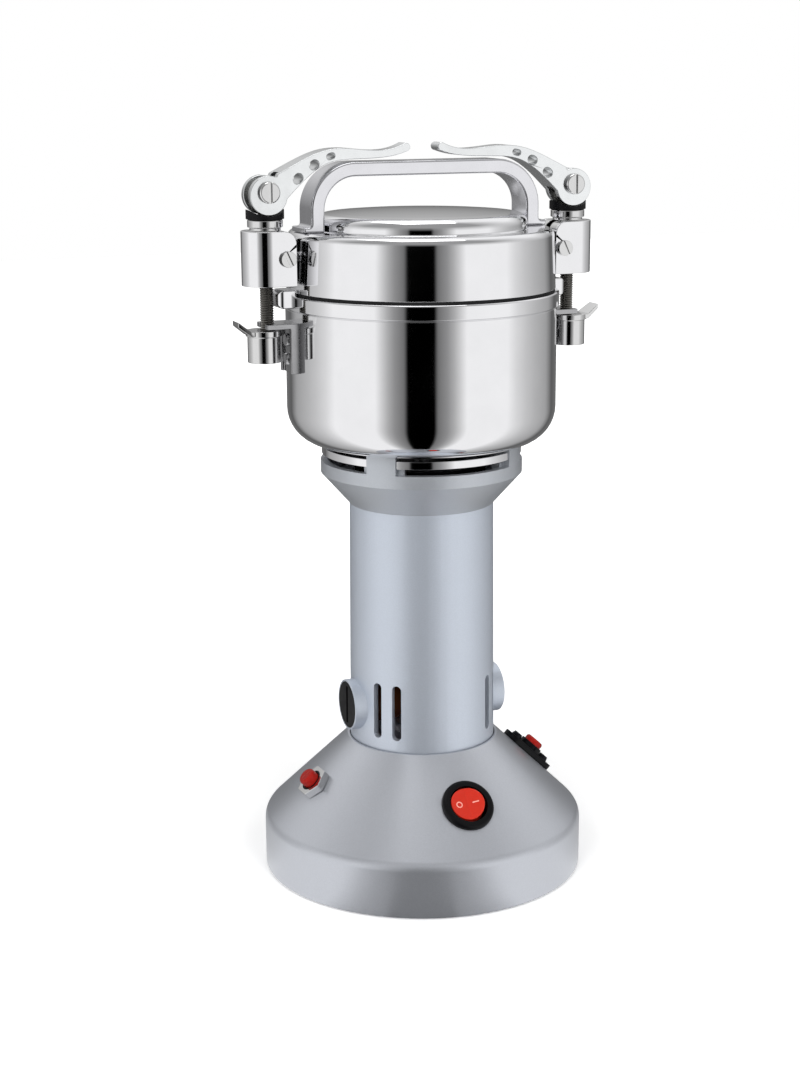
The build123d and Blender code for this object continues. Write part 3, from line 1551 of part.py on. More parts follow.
with BuildPart() as lever:
    with BuildSketch(side_view):
        with BuildLine():
            top_edge = Spline([lever_point(point) for point in lever_top_edge])
            under_edge = Spline([lever_point(point) for point in lever_under_edge])
            ThreePointArc(
                top_edge @ 1,
                lever_point(lever_tip),
                under_edge @ 0,
            )
            Polyline(
                under_edge @ 1,
                lever_point((0, -cam_offset)),
                top_edge @ 0,
            )
        make_face()
        with Locations((rod_place, cam_height)):
            Circle(cam_radius)
        for across, up, length, width, slant in lever_windows:
            with Locations(lever_point((across, up))):
                SlotOverall(length, width, rotation=-slant, mode=Mode.SUBTRACT)
    extrude(amount=lever_width / 2, both=True)
    with BuildSketch(Plane.XY.offset(pivot_height - lever_width)):
        with BuildLine():
            Polyline(
                (rod_place + lever_width, -lever_width / 2),
                (rod_place - web_start, -lever_width / 2),
                (0, -lever_tip_width / 2),
                (0, lever_tip_width / 2),
                (rod_place - web_start, lever_width / 2),
                (rod_place + lever_width, lever_width / 2),
                close=True,
            )
        make_face()
    extrude(amount=4 * lever_width, mode=Mode.INTERSECT)
    with BuildSketch(side_view):
        with Locations((rod_place, pivot_height)):
            Circle(web_start)
    extrude(amount=cheek_gap / 2, both=True, mode=Mode.SUBTRACT)
    with BuildSketch(side_view):
        with Locations((rod_place, pivot_height)):
            Circle(lever_screw_radius + fit)
    extrude(amount=lever_width, both=True, mode=Mode.SUBTRACT)
write_pair(lever.part, "cam_lever")

lever_front = Plane(
    origin=(rod_place, -lever_width / 2, pivot_height), x_dir=(1, 0, 0), z_dir=(0, -1, 0)
)
with BuildPart() as lever_screw:
    with BuildSketch(lever_front):
        Circle(lever_head_radius)
    extrude(amount=lever_head_height)
    chamfer(lever_screw.edges().group_by(Axis.Y)[0], lever_head_height / 4)
    with BuildSketch(lever_front.offset(lever_head_height)):
        Rectangle(screw_slot, 3 * lever_head_radius)
    extrude(amount=-screw_slot_depth, mode=Mode.SUBTRACT)
    with BuildSketch(lever_front):
        Circle(lever_screw_radius)
    extrude(amount=-lever_width)
    with BuildSketch(lever_front.offset(-lever_width)):
        RegularPolygon(lever_nut_radius, 6)
    extrude(amount=-lever_nut_height)
write_pair(lever_screw.part, "lever_screw")
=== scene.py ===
"""Looks of an electric grain mill: polished bowl and lid, painted base and column, cam clamps.

Laid out as an add-on. Every new piece stands for a solid of the frame, at the same place
and size. Lengths are metres; values named _mm are millimetres.
"""

import json
from math import atan2, pi, radians, sin, sqrt, tan

import bpy
from bpy.props import FloatProperty, FloatVectorProperty, IntProperty, PointerProperty
from mathutils import Matrix, Vector


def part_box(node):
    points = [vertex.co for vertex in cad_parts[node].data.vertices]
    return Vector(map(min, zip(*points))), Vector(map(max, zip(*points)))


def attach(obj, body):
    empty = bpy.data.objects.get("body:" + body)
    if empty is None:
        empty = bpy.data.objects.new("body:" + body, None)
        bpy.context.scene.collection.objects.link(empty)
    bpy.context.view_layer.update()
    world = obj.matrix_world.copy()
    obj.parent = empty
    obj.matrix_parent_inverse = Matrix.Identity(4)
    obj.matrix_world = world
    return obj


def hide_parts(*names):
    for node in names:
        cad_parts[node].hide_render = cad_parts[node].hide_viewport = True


bl_info = {
    "name": "Grain mill looks",
    "version": (1, 0, 0),
    "blender": (4, 5, 0),
    "location": "3D View > Sidebar > Grain mill",
    "description": "Builds the finished pieces and materials of an electric grain mill",
    "category": "Object",
}

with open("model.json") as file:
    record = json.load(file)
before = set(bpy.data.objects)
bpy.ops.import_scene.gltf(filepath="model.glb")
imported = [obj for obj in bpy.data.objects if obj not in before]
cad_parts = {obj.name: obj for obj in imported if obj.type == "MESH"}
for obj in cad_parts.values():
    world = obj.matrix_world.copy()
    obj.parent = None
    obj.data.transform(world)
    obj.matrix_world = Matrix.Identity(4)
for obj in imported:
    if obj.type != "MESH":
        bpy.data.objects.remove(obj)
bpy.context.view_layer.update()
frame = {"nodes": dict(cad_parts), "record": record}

MM = 0.001
SIDES = (("right", 1), ("left", -1))
MERGE_DISTANCE = 2e-6       # points closer than this are one point
FLAT_ANGLE = radians(0.6)   # neighbours that differ less than this are one flat face


def linear(code):
    """An sRGB hex colour as linear values with alpha."""
    channels = []
    for start in (0, 2, 4):
        value = int(code[start:start + 2], 16) / 255
        channels.append(value / 12.92 if value <= 0.04045 else ((value + 0.055) / 1.055) ** 2.4)
    return (*channels, 1.0)


# ---------------------------------------------------------------- settings


def length(name, description, value_mm):
    """A length property in metres, from millimetres."""
    return FloatProperty(
        name=name, description=description, default=value_mm * MM, min=0.0, unit="LENGTH",
        precision=4,
    )


def colour(name, description, code):
    """A colour property from an sRGB hex code."""
    return FloatVectorProperty(
        name=name, description=description, default=linear(code), size=4, min=0.0, max=1.0,
        subtype="COLOR",
    )


class MillSizes(bpy.types.PropertyGroup):
    """Sizes of the finished pieces."""

    bowl_radius: length("Bowl radius", "Outside of the grinding bowl", 59.3)
    bowl_wall: length("Bowl wall", "Sheet thickness of bowl and lid", 1.6)
    bead_radius: length("Bead radius", "Outside of the bowl's rolled rim", 60.2)
    lid_foot_radius: length("Lid foot radius", "Outside of the lid at its lower edge", 58.7)
    lid_rim_radius: length("Lid rim radius", "Outside of the lid at its upper edge", 57.8)
    crown_radius: length("Crown radius", "Outside of the lid's raised top", 46.2)
    thread_pitch: length("Thread pitch", "Pitch of the clamp rods' thread", 1.0)
    thread_depth: length("Thread depth", "Depth of the clamp rods' thread", 0.45)
    handle_edge: length("Handle edge", "Rounding of the bent handle", 0.42)
    pressed_edge: length("Pressed edge", "Rounding of sheet metal edges", 0.3)
    fine_edge: length("Fine edge", "Rounding of screws and small pieces", 0.18)
    thin_edge: length("Thin edge", "Rounding of thin walls and narrow lips", 0.08)
    turning_steps: IntProperty(
        name="Turning steps", description="Faces round a turned piece", default=192, min=24,
    )


class MillColours(bpy.types.PropertyGroup):
    """Colours of the finishes."""

    base: colour("Base paint", "Silver paint of the base", "C4C7CE")
    column: colour("Column paint", "Bluish silver paint of the column", "CBD2DD")
    collar: colour("Collar paint", "Silver paint of the collar", "B8BCC2")
    steel: colour("Polished steel", "Bowl, lid and ring", "EFEFF1")
    satin: colour("Satin steel", "Brackets, straps and blades", "C2C2C4")
    nickel: colour("Bright nickel", "Hooks, barrels, nuts and screws", "DCDCDC")
    chrome: colour("Cast chrome", "Cam levers", "F2F4F5")
    aluminium: colour("Polished aluminium", "Carry handle", "E8E8EC")
    rod: colour("Threaded steel", "Clamp rods", "8A8884")
    rocker: colour("Rocker red", "Rocker of the switch", "C62E1E")
    button: colour("Button red", "Push buttons", "A01E18")
    black: colour("Black plastic", "Switch frame, caps and pads", "0C0C0E")
    rubber: colour("Rubber", "Feet, grommet and seals", "1B1B1C")
    copper: colour("Copper", "Windings and commutator", "B5673A")
    floor: colour("Floor", "Studio floor", "F4F4F4")


# ---------------------------------------------------------------- modelling helpers


def pick(piece):
    """Leave only this object selected and active."""
    bpy.ops.object.select_all(action="DESELECT")
    piece.select_set(True)
    bpy.context.view_layer.objects.active = piece


def edit(mode="FACE", select="SELECT"):
    """Enter edit mode with all selected or nothing selected."""
    bpy.ops.object.mode_set(mode="EDIT")
    bpy.ops.mesh.select_mode(type=mode)
    bpy.ops.mesh.select_all(action=select)


def select_faces(piece, test):
    """Select the faces of the active object that pass a test, and enter edit mode."""
    edit(select="DESELECT")
    bpy.ops.object.mode_set(mode="OBJECT")
    for face in piece.data.polygons:
        face.select = bool(test(face))
    bpy.ops.object.mode_set(mode="EDIT")


def apply_modifier(piece, kind, **settings):
    """Add a modifier with its settings and apply it."""
    pick(piece)
    bpy.ops.object.modifier_add(type=kind)
    modifier = piece.modifiers[-1]
    for name, value in settings.items():
        setattr(modifier, name, value)
    bpy.ops.object.modifier_apply(modifier=modifier.name)


def round_edges(piece, width, segments=3, sharper_than=30.0):
    """Round every edge that is sharper than an angle."""
    apply_modifier(
        piece, "BEVEL", width=width, segments=segments, limit_method="ANGLE",
        angle_limit=radians(sharper_than), use_clamp_overlap=False, harden_normals=False,
        miter_outer="MITER_ARC",
    )


def smooth(piece, sharper_than=35.0):
    """Shade smooth up to an angle, with large faces keeping their flatness."""
    pick(piece)
    bpy.ops.object.shade_smooth_by_angle(angle=radians(sharper_than))
    apply_modifier(piece, "WEIGHTED_NORMAL", keep_sharp=True, weight=80)


def settle(piece):
    """Bring the object to the origin with its place in its mesh."""
    pick(piece)
    bpy.ops.object.transform_apply(location=True, rotation=True, scale=True)


def complete(piece, name, body, finish, node=None):
    """Name a piece, give it its finish and its body, and hide the node it replaces."""
    settle(piece)
    piece.name = name
    piece.data.name = name
    piece.data.materials.clear()
    piece.data.materials.append(finish_material(finish))
    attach(piece, body)
    if node:
        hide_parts(node)
    return piece


def body_with(node):
    """The body that carries a node of the frame."""
    bodies = frame["record"]["behaviour"]["bodies"]
    return next(body for body, nodes in bodies.items() if node in nodes)


def slot_of(node):
    """The material slot of a node of the frame."""
    return next(
        part["material_slot"] for part in frame["record"]["subparts"] if part["node"] == node
    )


def copy_of(node):
    """A merged copy of a node's solid, to model on."""
    original = frame["nodes"][node]
    piece = original.copy()
    piece.data = original.data.copy()
    piece.parent = None
    piece.matrix_world = Matrix.Identity(4)
    bpy.context.scene.collection.objects.link(piece)
    pick(piece)
    if piece.data.has_custom_normals:
        bpy.ops.mesh.customdata_custom_splitnormals_clear()
    edit()
    bpy.ops.mesh.remove_doubles(threshold=MERGE_DISTANCE)
    bpy.ops.mesh.dissolve_limited(angle_limit=FLAT_ANGLE)
    bpy.ops.object.mode_set(mode="OBJECT")
    return piece


def dressed(node, edge=0.0, segments=3, sharper_than=30.0):
    """A finished piece with rounded edges in place of a node's solid."""
    piece = copy_of(node)
    if edge:
        round_edges(piece, edge, segments, sharper_than)
    smooth(piece)
    return complete(piece, f"{node}_finished", body_with(node), slot_of(node), node)


def repaint(*nodes):
    """Give nodes whose shape stays as it is their finish."""
    for node in nodes:
        for holder in frame["nodes"][node].material_slots:
            holder.material = finish_material(slot_of(node))


def outline(corners, steps=8):
    """Points of an outline given as (radius, height, rounding) corners in millimetres."""
    points = []
    for index, (across, up, rounding) in enumerate(corners):
        here = Vector((across, up))
        if not rounding:
            points.append(here)
            continue
        back = (Vector(corners[index - 1][:2]) - here).normalized()
        ahead = (Vector(corners[index + 1][:2]) - here).normalized()
        half = back.angle(ahead) / 2
        centre = here + (back + ahead).normalized() * rounding / sin(half)
        start = here + back * rounding / tan(half) - centre
        end = here + ahead * rounding / tan(half) - centre
        sweep = start.angle_signed(end)
        for step in range(steps + 1):
            turned_by = Matrix.Rotation(-sweep * step / steps, 2)
            points.append(centre + turned_by @ start)
    return points


def turned(points, steps, cap_start=False, cap_end=False, close=False):
    """Turn (radius, height) points in millimetres round the Z axis, ring by ring."""
    first = points[0]
    bpy.ops.object.select_all(action="DESELECT")
    bpy.ops.mesh.primitive_circle_add(
        vertices=steps, radius=first[0] * MM, fill_type="NGON" if cap_start else "NOTHING",
    )
    piece = bpy.context.object
    edit("EDGE")
    bpy.ops.transform.translate(value=(0, 0, first[1] * MM))
    for before, after in zip(points, points[1:]):
        bpy.ops.mesh.extrude_edges_move(
            TRANSFORM_OT_translate={"value": (0, 0, (after[1] - before[1]) * MM)}
        )
        if after[0] != before[0]:
            growth = after[0] / before[0]
            bpy.ops.transform.resize(value=(growth, growth, 1), center_override=(0, 0, 0))
    if cap_end:
        bpy.ops.mesh.edge_face_add()
    bpy.ops.mesh.select_all(action="SELECT")
    if close:
        bpy.ops.mesh.remove_doubles(threshold=MERGE_DISTANCE)
    bpy.ops.mesh.normals_make_consistent(inside=False)
    bpy.ops.object.mode_set(mode="OBJECT")
    return piece


def joined(pieces):
    """Join objects into the first."""
    pick(pieces[0])
    for piece in pieces[1:]:
        piece.select_set(True)
    bpy.ops.object.join()
    return bpy.context.object


# ---------------------------------------------------------------- material helpers


def add_node(tree, kind, settings=None, inputs=None):
    """Add a node, set its options, and set or link its inputs."""
    node = tree.nodes.new(kind)
    for name, value in (settings or {}).items():
        setattr(node, name, value)
    for name, value in (inputs or {}).items():
        if isinstance(value, bpy.types.NodeSocket):
            tree.links.new(value, node.inputs[name])
        else:
            node.inputs[name].default_value = value
    return node


def per_size(size_mm):
    """Pattern scale that makes one feature this many millimetres."""
    return 1 / (size_mm * MM)


def tint(colour_value, factor):
    """A lighter or darker tone of a colour."""
    return (*[min(1.0, channel * factor) for channel in colour_value[:3]], 1.0)


def new_material(name, **shader):
    """A material with its shader's constants set, and its tree, shader and coordinates."""
    material = bpy.data.materials.new(name)
    material.use_nodes = True
    tree = material.node_tree
    principled = tree.nodes["Principled BSDF"]
    for socket, value in shader.items():
        principled.inputs[socket.replace("_", " ")].default_value = value
    coordinates = add_node(tree, "ShaderNodeTexCoord").outputs["Object"]
    return material, tree, principled, coordinates


def noise(tree, coordinates, size_mm, detail=2.0, stretch=None):
    """Noise with features of a size, optionally stretched along an axis."""
    if stretch:
        coordinates = add_node(
            tree, "ShaderNodeMapping", inputs={"Vector": coordinates, "Scale": stretch}
        ).outputs["Vector"]
    return add_node(
        tree, "ShaderNodeTexNoise",
        inputs={"Vector": coordinates, "Scale": per_size(size_mm), "Detail": detail},
    ).outputs["Fac"]


def between(tree, factor, low, high, start=0.3, end=0.7):
    """Map a factor that runs from start to end, as noise does, to values from low to high."""
    return add_node(
        tree, "ShaderNodeMapRange",
        inputs={
            "Value": factor, "From Min": start, "From Max": end, "To Min": low, "To Max": high,
        },
    ).outputs["Result"]


def blend_colours(tree, factor, first, second):
    """Mix two colours by a factor."""
    mix = add_node(tree, "ShaderNodeMix", {"data_type": "RGBA"}, {"Factor": factor})
    first_colour, second_colour, mixed_colour = 6, 7, 2
    for index, value in ((first_colour, first), (second_colour, second)):
        if isinstance(value, bpy.types.NodeSocket):
            tree.links.new(value, mix.inputs[index])
        else:
            mix.inputs[index].default_value = value
    return mix.outputs[mixed_colour]


def bump(tree, principled, height, distance_mm, strength=1.0):
    """Bump the surface by a height between 0 and 1, up to a depth in millimetres."""
    node = add_node(
        tree, "ShaderNodeBump",
        inputs={"Height": height, "Distance": distance_mm * MM, "Strength": strength},
    )
    tree.links.new(node.outputs["Normal"], principled.inputs["Normal"])


# ---------------------------------------------------------------- materials


def metal(name, tone, smooth_at, rough_at, smudge_mm, line_mm, line_depth_mm, stretch=(1, 1, 1)):
    """A bare or plated metal: roughness drifts with handling, fine lines from its making."""
    material, tree, principled, place = new_material(name, Metallic=1.0)
    drift = noise(tree, place, smudge_mm, 3.0)
    tree.links.new(between(tree, drift, smooth_at, rough_at), principled.inputs["Roughness"])
    tone_drift = noise(tree, place, smudge_mm * 0.4, 2.0)
    tree.links.new(
        blend_colours(tree, tone_drift, tone, tint(tone, 0.93)), principled.inputs["Base Color"]
    )
    bump(tree, principled, noise(tree, place, line_mm, 2.0, stretch), line_depth_mm, 0.6)
    return material


def polished_steel(colours):
    """Stainless steel, spun and mirror polished: faint rings left by the polishing wheel."""
    return metal(
        "Polished stainless steel", colours.steel, smooth_at=0.035, rough_at=0.085,
        smudge_mm=26, line_mm=9, line_depth_mm=0.0012, stretch=(1, 1, 14),
    )


def folded_steel(colours):
    """Folded sheet of the brackets: satin, darker than the bowl; the darker tone is painted shade
    for the brackets' shaded recesses.
    """
    return metal(
        # the satin tone is darkened to 0.8 as painted shade, standing in for the shade inside the
        # brackets
        "Folded stainless sheet with painted shade", tint(colours.satin, 0.8), smooth_at=0.16, rough_at=0.24,
        smudge_mm=10, line_mm=2.0, line_depth_mm=0.004,
    )


def black_steel(colours):
    """Blackened screws: dark and slightly oily."""
    return metal(
        "Blackened steel", linear("26262A"), smooth_at=0.3, rough_at=0.4, smudge_mm=3,
        line_mm=0.8, line_depth_mm=0.004,
    )


def satin_steel(colours):
    """Stainless sheet, pressed and brushed: soft reflections drawn out along the grain."""
    return metal(
        "Brushed stainless steel", colours.satin, smooth_at=0.2, rough_at=0.3, smudge_mm=12,
        line_mm=2.4, line_depth_mm=0.004, stretch=(1, 1, 9),
    )


def bearing_steel(colours):
    """Ground steel: clean and slightly dull."""
    return metal(
        "Ground steel", colours.satin, smooth_at=0.16, rough_at=0.26, smudge_mm=8, line_mm=1.5,
        line_depth_mm=0.003,
    )


def threaded_steel(colours):
    """Rolled thread on mild steel, greased and dull grey."""
    return metal(
        "Rolled mild steel", colours.rod, smooth_at=0.28, rough_at=0.42, smudge_mm=4,
        line_mm=0.7, line_depth_mm=0.006,
    )


def zinc_steel(colours):
    """Zinc plated steel: cloudy, slightly blue."""
    return metal(
        "Zinc plated steel", colours.satin, smooth_at=0.26, rough_at=0.4, smudge_mm=5,
        line_mm=1.2, line_depth_mm=0.004,
    )


def bright_nickel(colours):
    """Nickel plate on polished brass or steel: bright, a little soft."""
    return metal(
        "Nickel plate", colours.nickel, smooth_at=0.07, rough_at=0.14, smudge_mm=9, line_mm=3.0,
        line_depth_mm=0.004,
    )


def cast_chrome(colours):
    """Chrome plate on a zinc casting: bright, with the casting's soft waviness."""
    return metal(
        "Chromed zinc casting", colours.chrome, smooth_at=0.14, rough_at=0.22, smudge_mm=7,
        line_mm=2.6, line_depth_mm=0.02,
    )


def polished_aluminium(colours):
    """Aluminium casting, polished on a belt: fine lines along the bar."""
    return metal(
        "Polished aluminium", colours.aluminium, smooth_at=0.12, rough_at=0.2, smudge_mm=14,
        line_mm=1.6, line_depth_mm=0.004, stretch=(0.15, 1, 1),
    )


def raw_aluminium(colours):
    """Aluminium casting as cast: pale, grainy and dull."""
    return metal(
        "Cast aluminium", colours.aluminium, smooth_at=0.4, rough_at=0.55, smudge_mm=6,
        line_mm=0.8, line_depth_mm=0.03,
    )


def lamination_steel(colours):
    """Stacked electrical steel: a fine line at every sheet, drawn at one millimetre.

    Real sheets are 0.5 mm thick, which is too fine to show.
    """
    half_sheet = 0.5 * MM
    material, tree, principled, place = new_material(
        "Electrical steel stack", Metallic=0.9, Roughness=0.45
    )
    height = add_node(tree, "ShaderNodeSeparateXYZ", inputs={"Vector": place}).outputs["Z"]
    sheets = add_node(
        tree, "ShaderNodeMath", {"operation": "PINGPONG"}, {0: height, 1: half_sheet}
    ).outputs[0]
    edge = between(tree, sheets, 0.0, 1.0, 0.0, half_sheet)
    tree.links.new(
        blend_colours(tree, edge, tint(colours.rod, 0.45), tint(colours.rod, 0.8)),
        principled.inputs["Base Color"],
    )
    bump(tree, principled, edge, 0.05)
    return material


def spring_steel(colours):
    """Drawn spring wire: dark and smooth."""
    return metal(
        "Drawn spring wire", tint(colours.rod, 0.8), smooth_at=0.2, rough_at=0.3, smudge_mm=3,
        line_mm=0.8, line_depth_mm=0.003,
    )


def copper(colours):
    """Turned copper: warm and bright, with turning lines."""
    return metal(
        "Turned copper", colours.copper, smooth_at=0.22, rough_at=0.34, smudge_mm=5,
        line_mm=1.2, line_depth_mm=0.006, stretch=(1, 1, 8),
    )


def enamelled_copper(colours):
    """Wound magnet wire under varnish: wires of 0.6 mm side by side, glossy and reddish."""
    material, tree, principled, place = new_material(
        "Enamelled copper winding", Metallic=0.6, Roughness=0.3, Coat_Weight=0.6,
        Coat_Roughness=0.12,
    )
    wire_mm = 0.6
    units_in_band = 20      # the wave texture makes about this many units into one band
    wires = add_node(
        tree, "ShaderNodeTexWave", {"bands_direction": "DIAGONAL"}, {
            "Vector": place, "Scale": per_size(wire_mm) / units_in_band, "Distortion": 0.6,
            "Detail": 1.0,
        },
    ).outputs["Fac"]
    tree.links.new(
        blend_colours(tree, wires, tint(colours.copper, 0.35), tint(colours.copper, 0.95)),
        principled.inputs["Base Color"],
    )
    bump(tree, principled, wires, 0.2)
    return material


def metallic_paint(name, tone, flake_mm, peel_mm, peel_depth_mm, rough, metallic):
    """Silver paint sprayed on a casting: flakes under clear lacquer, faint orange peel.

    Real flakes are too fine to show, so they are drawn a little under half a millimetre wide.
    """
    material, tree, principled, place = new_material(
        name, Metallic=metallic, Specular_IOR_Level=0.35, Coat_Weight=0.12, Coat_Roughness=0.25
    )
    flakes = add_node(
        tree, "ShaderNodeTexVoronoi", inputs={"Vector": place, "Scale": per_size(flake_mm)}
    ).outputs["Color"]
    flake = add_node(tree, "ShaderNodeSeparateColor", inputs={"Color": flakes}).outputs["Red"]
    cloud_mm = 30
    cloud = noise(tree, place, cloud_mm, 3.0)
    speckled = blend_colours(tree, flake, tint(tone, 0.97), tint(tone, 1.03))
    tree.links.new(
        blend_colours(tree, between(tree, cloud, 0.0, 0.35), speckled, tint(tone, 0.96)),
        principled.inputs["Base Color"],
    )
    tree.links.new(
        between(tree, flake, rough - 0.025, rough + 0.025, 0.0, 1.0),
        principled.inputs["Roughness"],
    )
    bump(tree, principled, noise(tree, place, peel_mm, 2.0), peel_depth_mm, 0.7)
    return material


def base_paint(colours):
    """The base's paint has the coarser flake under a glossier lacquer."""
    return metallic_paint(
        "Silver metallic paint", colours.base, flake_mm=0.45, peel_mm=2.2, peel_depth_mm=0.008,
        rough=0.32, metallic=0.75,
    )


def column_paint(colours):
    """The column's paint has the finer flake under a duller lacquer."""
    return metallic_paint(
        "Silver lacquer", colours.column, flake_mm=0.4, peel_mm=2.4, peel_depth_mm=0.012,
        rough=0.46, metallic=0.7,
    )


def collar_paint(colours):
    """The collar is painted as the column is, on a rougher casting."""
    return metallic_paint(
        "Silver lacquer on casting", colours.collar, flake_mm=0.45, peel_mm=1.8,
        peel_depth_mm=0.025, rough=0.38, metallic=0.65,
    )


def plastic(name, tone, rough, grain_mm, grain_depth_mm, mottle=0.85, **shader):
    """Moulded plastic: slight mottling and the grain of the mould."""
    shader.setdefault("Specular_IOR_Level", 0.15)
    material, tree, principled, place = new_material(name, **shader)
    mottle_mm = 5
    drift = noise(tree, place, mottle_mm, 3.0)
    tree.links.new(
        blend_colours(tree, drift, tone, tint(tone, mottle)), principled.inputs["Base Color"]
    )
    tree.links.new(
        between(tree, drift, rough - 0.04, rough + 0.06), principled.inputs["Roughness"]
    )
    bump(tree, principled, noise(tree, place, grain_mm, 2.0), grain_depth_mm, 0.5)
    return material


def black_nylon(colours):
    """Glass filled nylon of the switch frame and button housings: smooth, half gloss."""
    return plastic("Black nylon", colours.black, rough=0.3, grain_mm=0.6, grain_depth_mm=0.01)


def black_phenolic(colours):
    """Compression moulded phenolic of the caps, pads and fan: dull and slightly grainy."""
    return plastic("Black phenolic", colours.black, rough=0.42, grain_mm=0.5, grain_depth_mm=0.02)


def brown_phenolic(colours):
    """Brown phenolic of the brush holders."""
    return plastic(
        "Brown phenolic", linear("5A3018"), rough=0.4, grain_mm=0.6, grain_depth_mm=0.02,
    )


def carbon(colours):
    """Pressed carbon brush: dark and dusty."""
    return plastic(
        "Pressed carbon", linear("2C2C2E"), rough=0.6, grain_mm=0.4, grain_depth_mm=0.03,
    )


def red_nylon(colours):
    """Glossy translucent red of an illuminated rocker: light spreads a little inside it."""
    return plastic(
        "Red polycarbonate", colours.rocker, rough=0.16, grain_mm=2.0, grain_depth_mm=0.004,
        mottle=0.92, Subsurface_Weight=0.15, Subsurface_Scale=0.002, Coat_Weight=0.4,
        Coat_Roughness=0.06,
    )


def dark_red_nylon(colours):
    """Opaque red of the push buttons."""
    return plastic(
        "Red nylon", colours.button, rough=0.25, grain_mm=1.0, grain_depth_mm=0.008, mottle=0.85,
    )


def white_ink(colours):
    """Printed legend on the rocker: thin, matt and slightly pink from the red below."""
    return plastic(
        "Legend ink", linear("F0A79A"), rough=0.5, grain_mm=0.5, grain_depth_mm=0.005,
        mottle=0.95,
    )


def black_rubber(colours):
    """Moulded rubber: matt, with a faint bloom."""
    return plastic(
        "Moulded rubber", colours.rubber, rough=0.7, grain_mm=0.4, grain_depth_mm=0.03,
        mottle=1.4,
    )


FINISHES = {
    maker.__name__: maker
    for maker in (
        polished_steel, satin_steel, folded_steel, black_steel, bearing_steel, threaded_steel,
        zinc_steel, bright_nickel, cast_chrome, polished_aluminium, raw_aluminium,
        lamination_steel, spring_steel, copper, enamelled_copper, base_paint, column_paint,
        collar_paint, black_nylon, black_phenolic, brown_phenolic, carbon, red_nylon,
        dark_red_nylon, white_ink, black_rubber,
    )
}
made_finishes = {}


def finish_material(slot):
    """The material of a slot, made when it is first needed."""
    if slot not in made_finishes:
        made_finishes[slot] = FINISHES[slot](bpy.context.scene.mill_colours)
    return made_finishes[slot]


# ---------------------------------------------------------------- pieces


class MILL_OT_bowl(bpy.types.Operator):
    """Turn the grinding bowl with its rolled rim, and add the guide lugs at its sides"""

    bl_idname = "mill.bowl"
    bl_label = "Bowl"

    def execute(self, context):
        sizes = context.scene.mill_sizes
        wall = sizes.bowl_radius / MM
        bore = wall - sizes.bowl_wall / MM
        bead = sizes.bead_radius / MM
        shaft_hole = 7.05
        underside, floor = 197.5, 199.1
        groove, brim = 257.3, 264.0
        corner, inner_corner = 16.0, 14.4
        corners = [
            (shaft_hole, underside, 0), (wall, underside, corner), (wall, groove - 0.3, 0.2),
            (wall - 0.25, groove, 0.2), (bead, groove + 0.6, 0.35), (bead, brim, 0.8),
            (bore, brim, 0.6), (bore, floor, inner_corner), (shaft_hole, floor, 0),
            (shaft_hole, underside, 0),
        ]
        bowl = turned(outline(corners, 10), sizes.turning_steps, close=True)
        lug_length, lug_width, lug_height = 8.6, 12.0, 7.8
        lug_place, lug_centre = 62.9, 263.1
        lug_corner = 2.5
        lug_edge = 0.6
        lugs = []
        for _, side in SIDES:
            bpy.ops.object.select_all(action="DESELECT")
            bpy.ops.mesh.primitive_cube_add(
                size=1, location=(side * lug_place * MM, 0, lug_centre * MM),
            )
            lug = bpy.context.object
            lug.scale = (lug_length * MM, lug_width * MM, lug_height * MM)
            settle(lug)
            select_faces(lug, lambda face: face.normal.x * side > 0.9)
            bpy.ops.mesh.bevel(offset=lug_corner * MM, segments=8)
            bpy.ops.object.mode_set(mode="OBJECT")
            round_edges(lug, lug_edge * MM, 3)
            lugs.append(lug)
        lug = joined(lugs)
        smooth(lug)
        complete(lug, "guide_lugs", "root", "polished_steel")
        smooth(bowl)
        complete(bowl, "bowl_finished", "root", "polished_steel", "bowl")
        return {"FINISHED"}


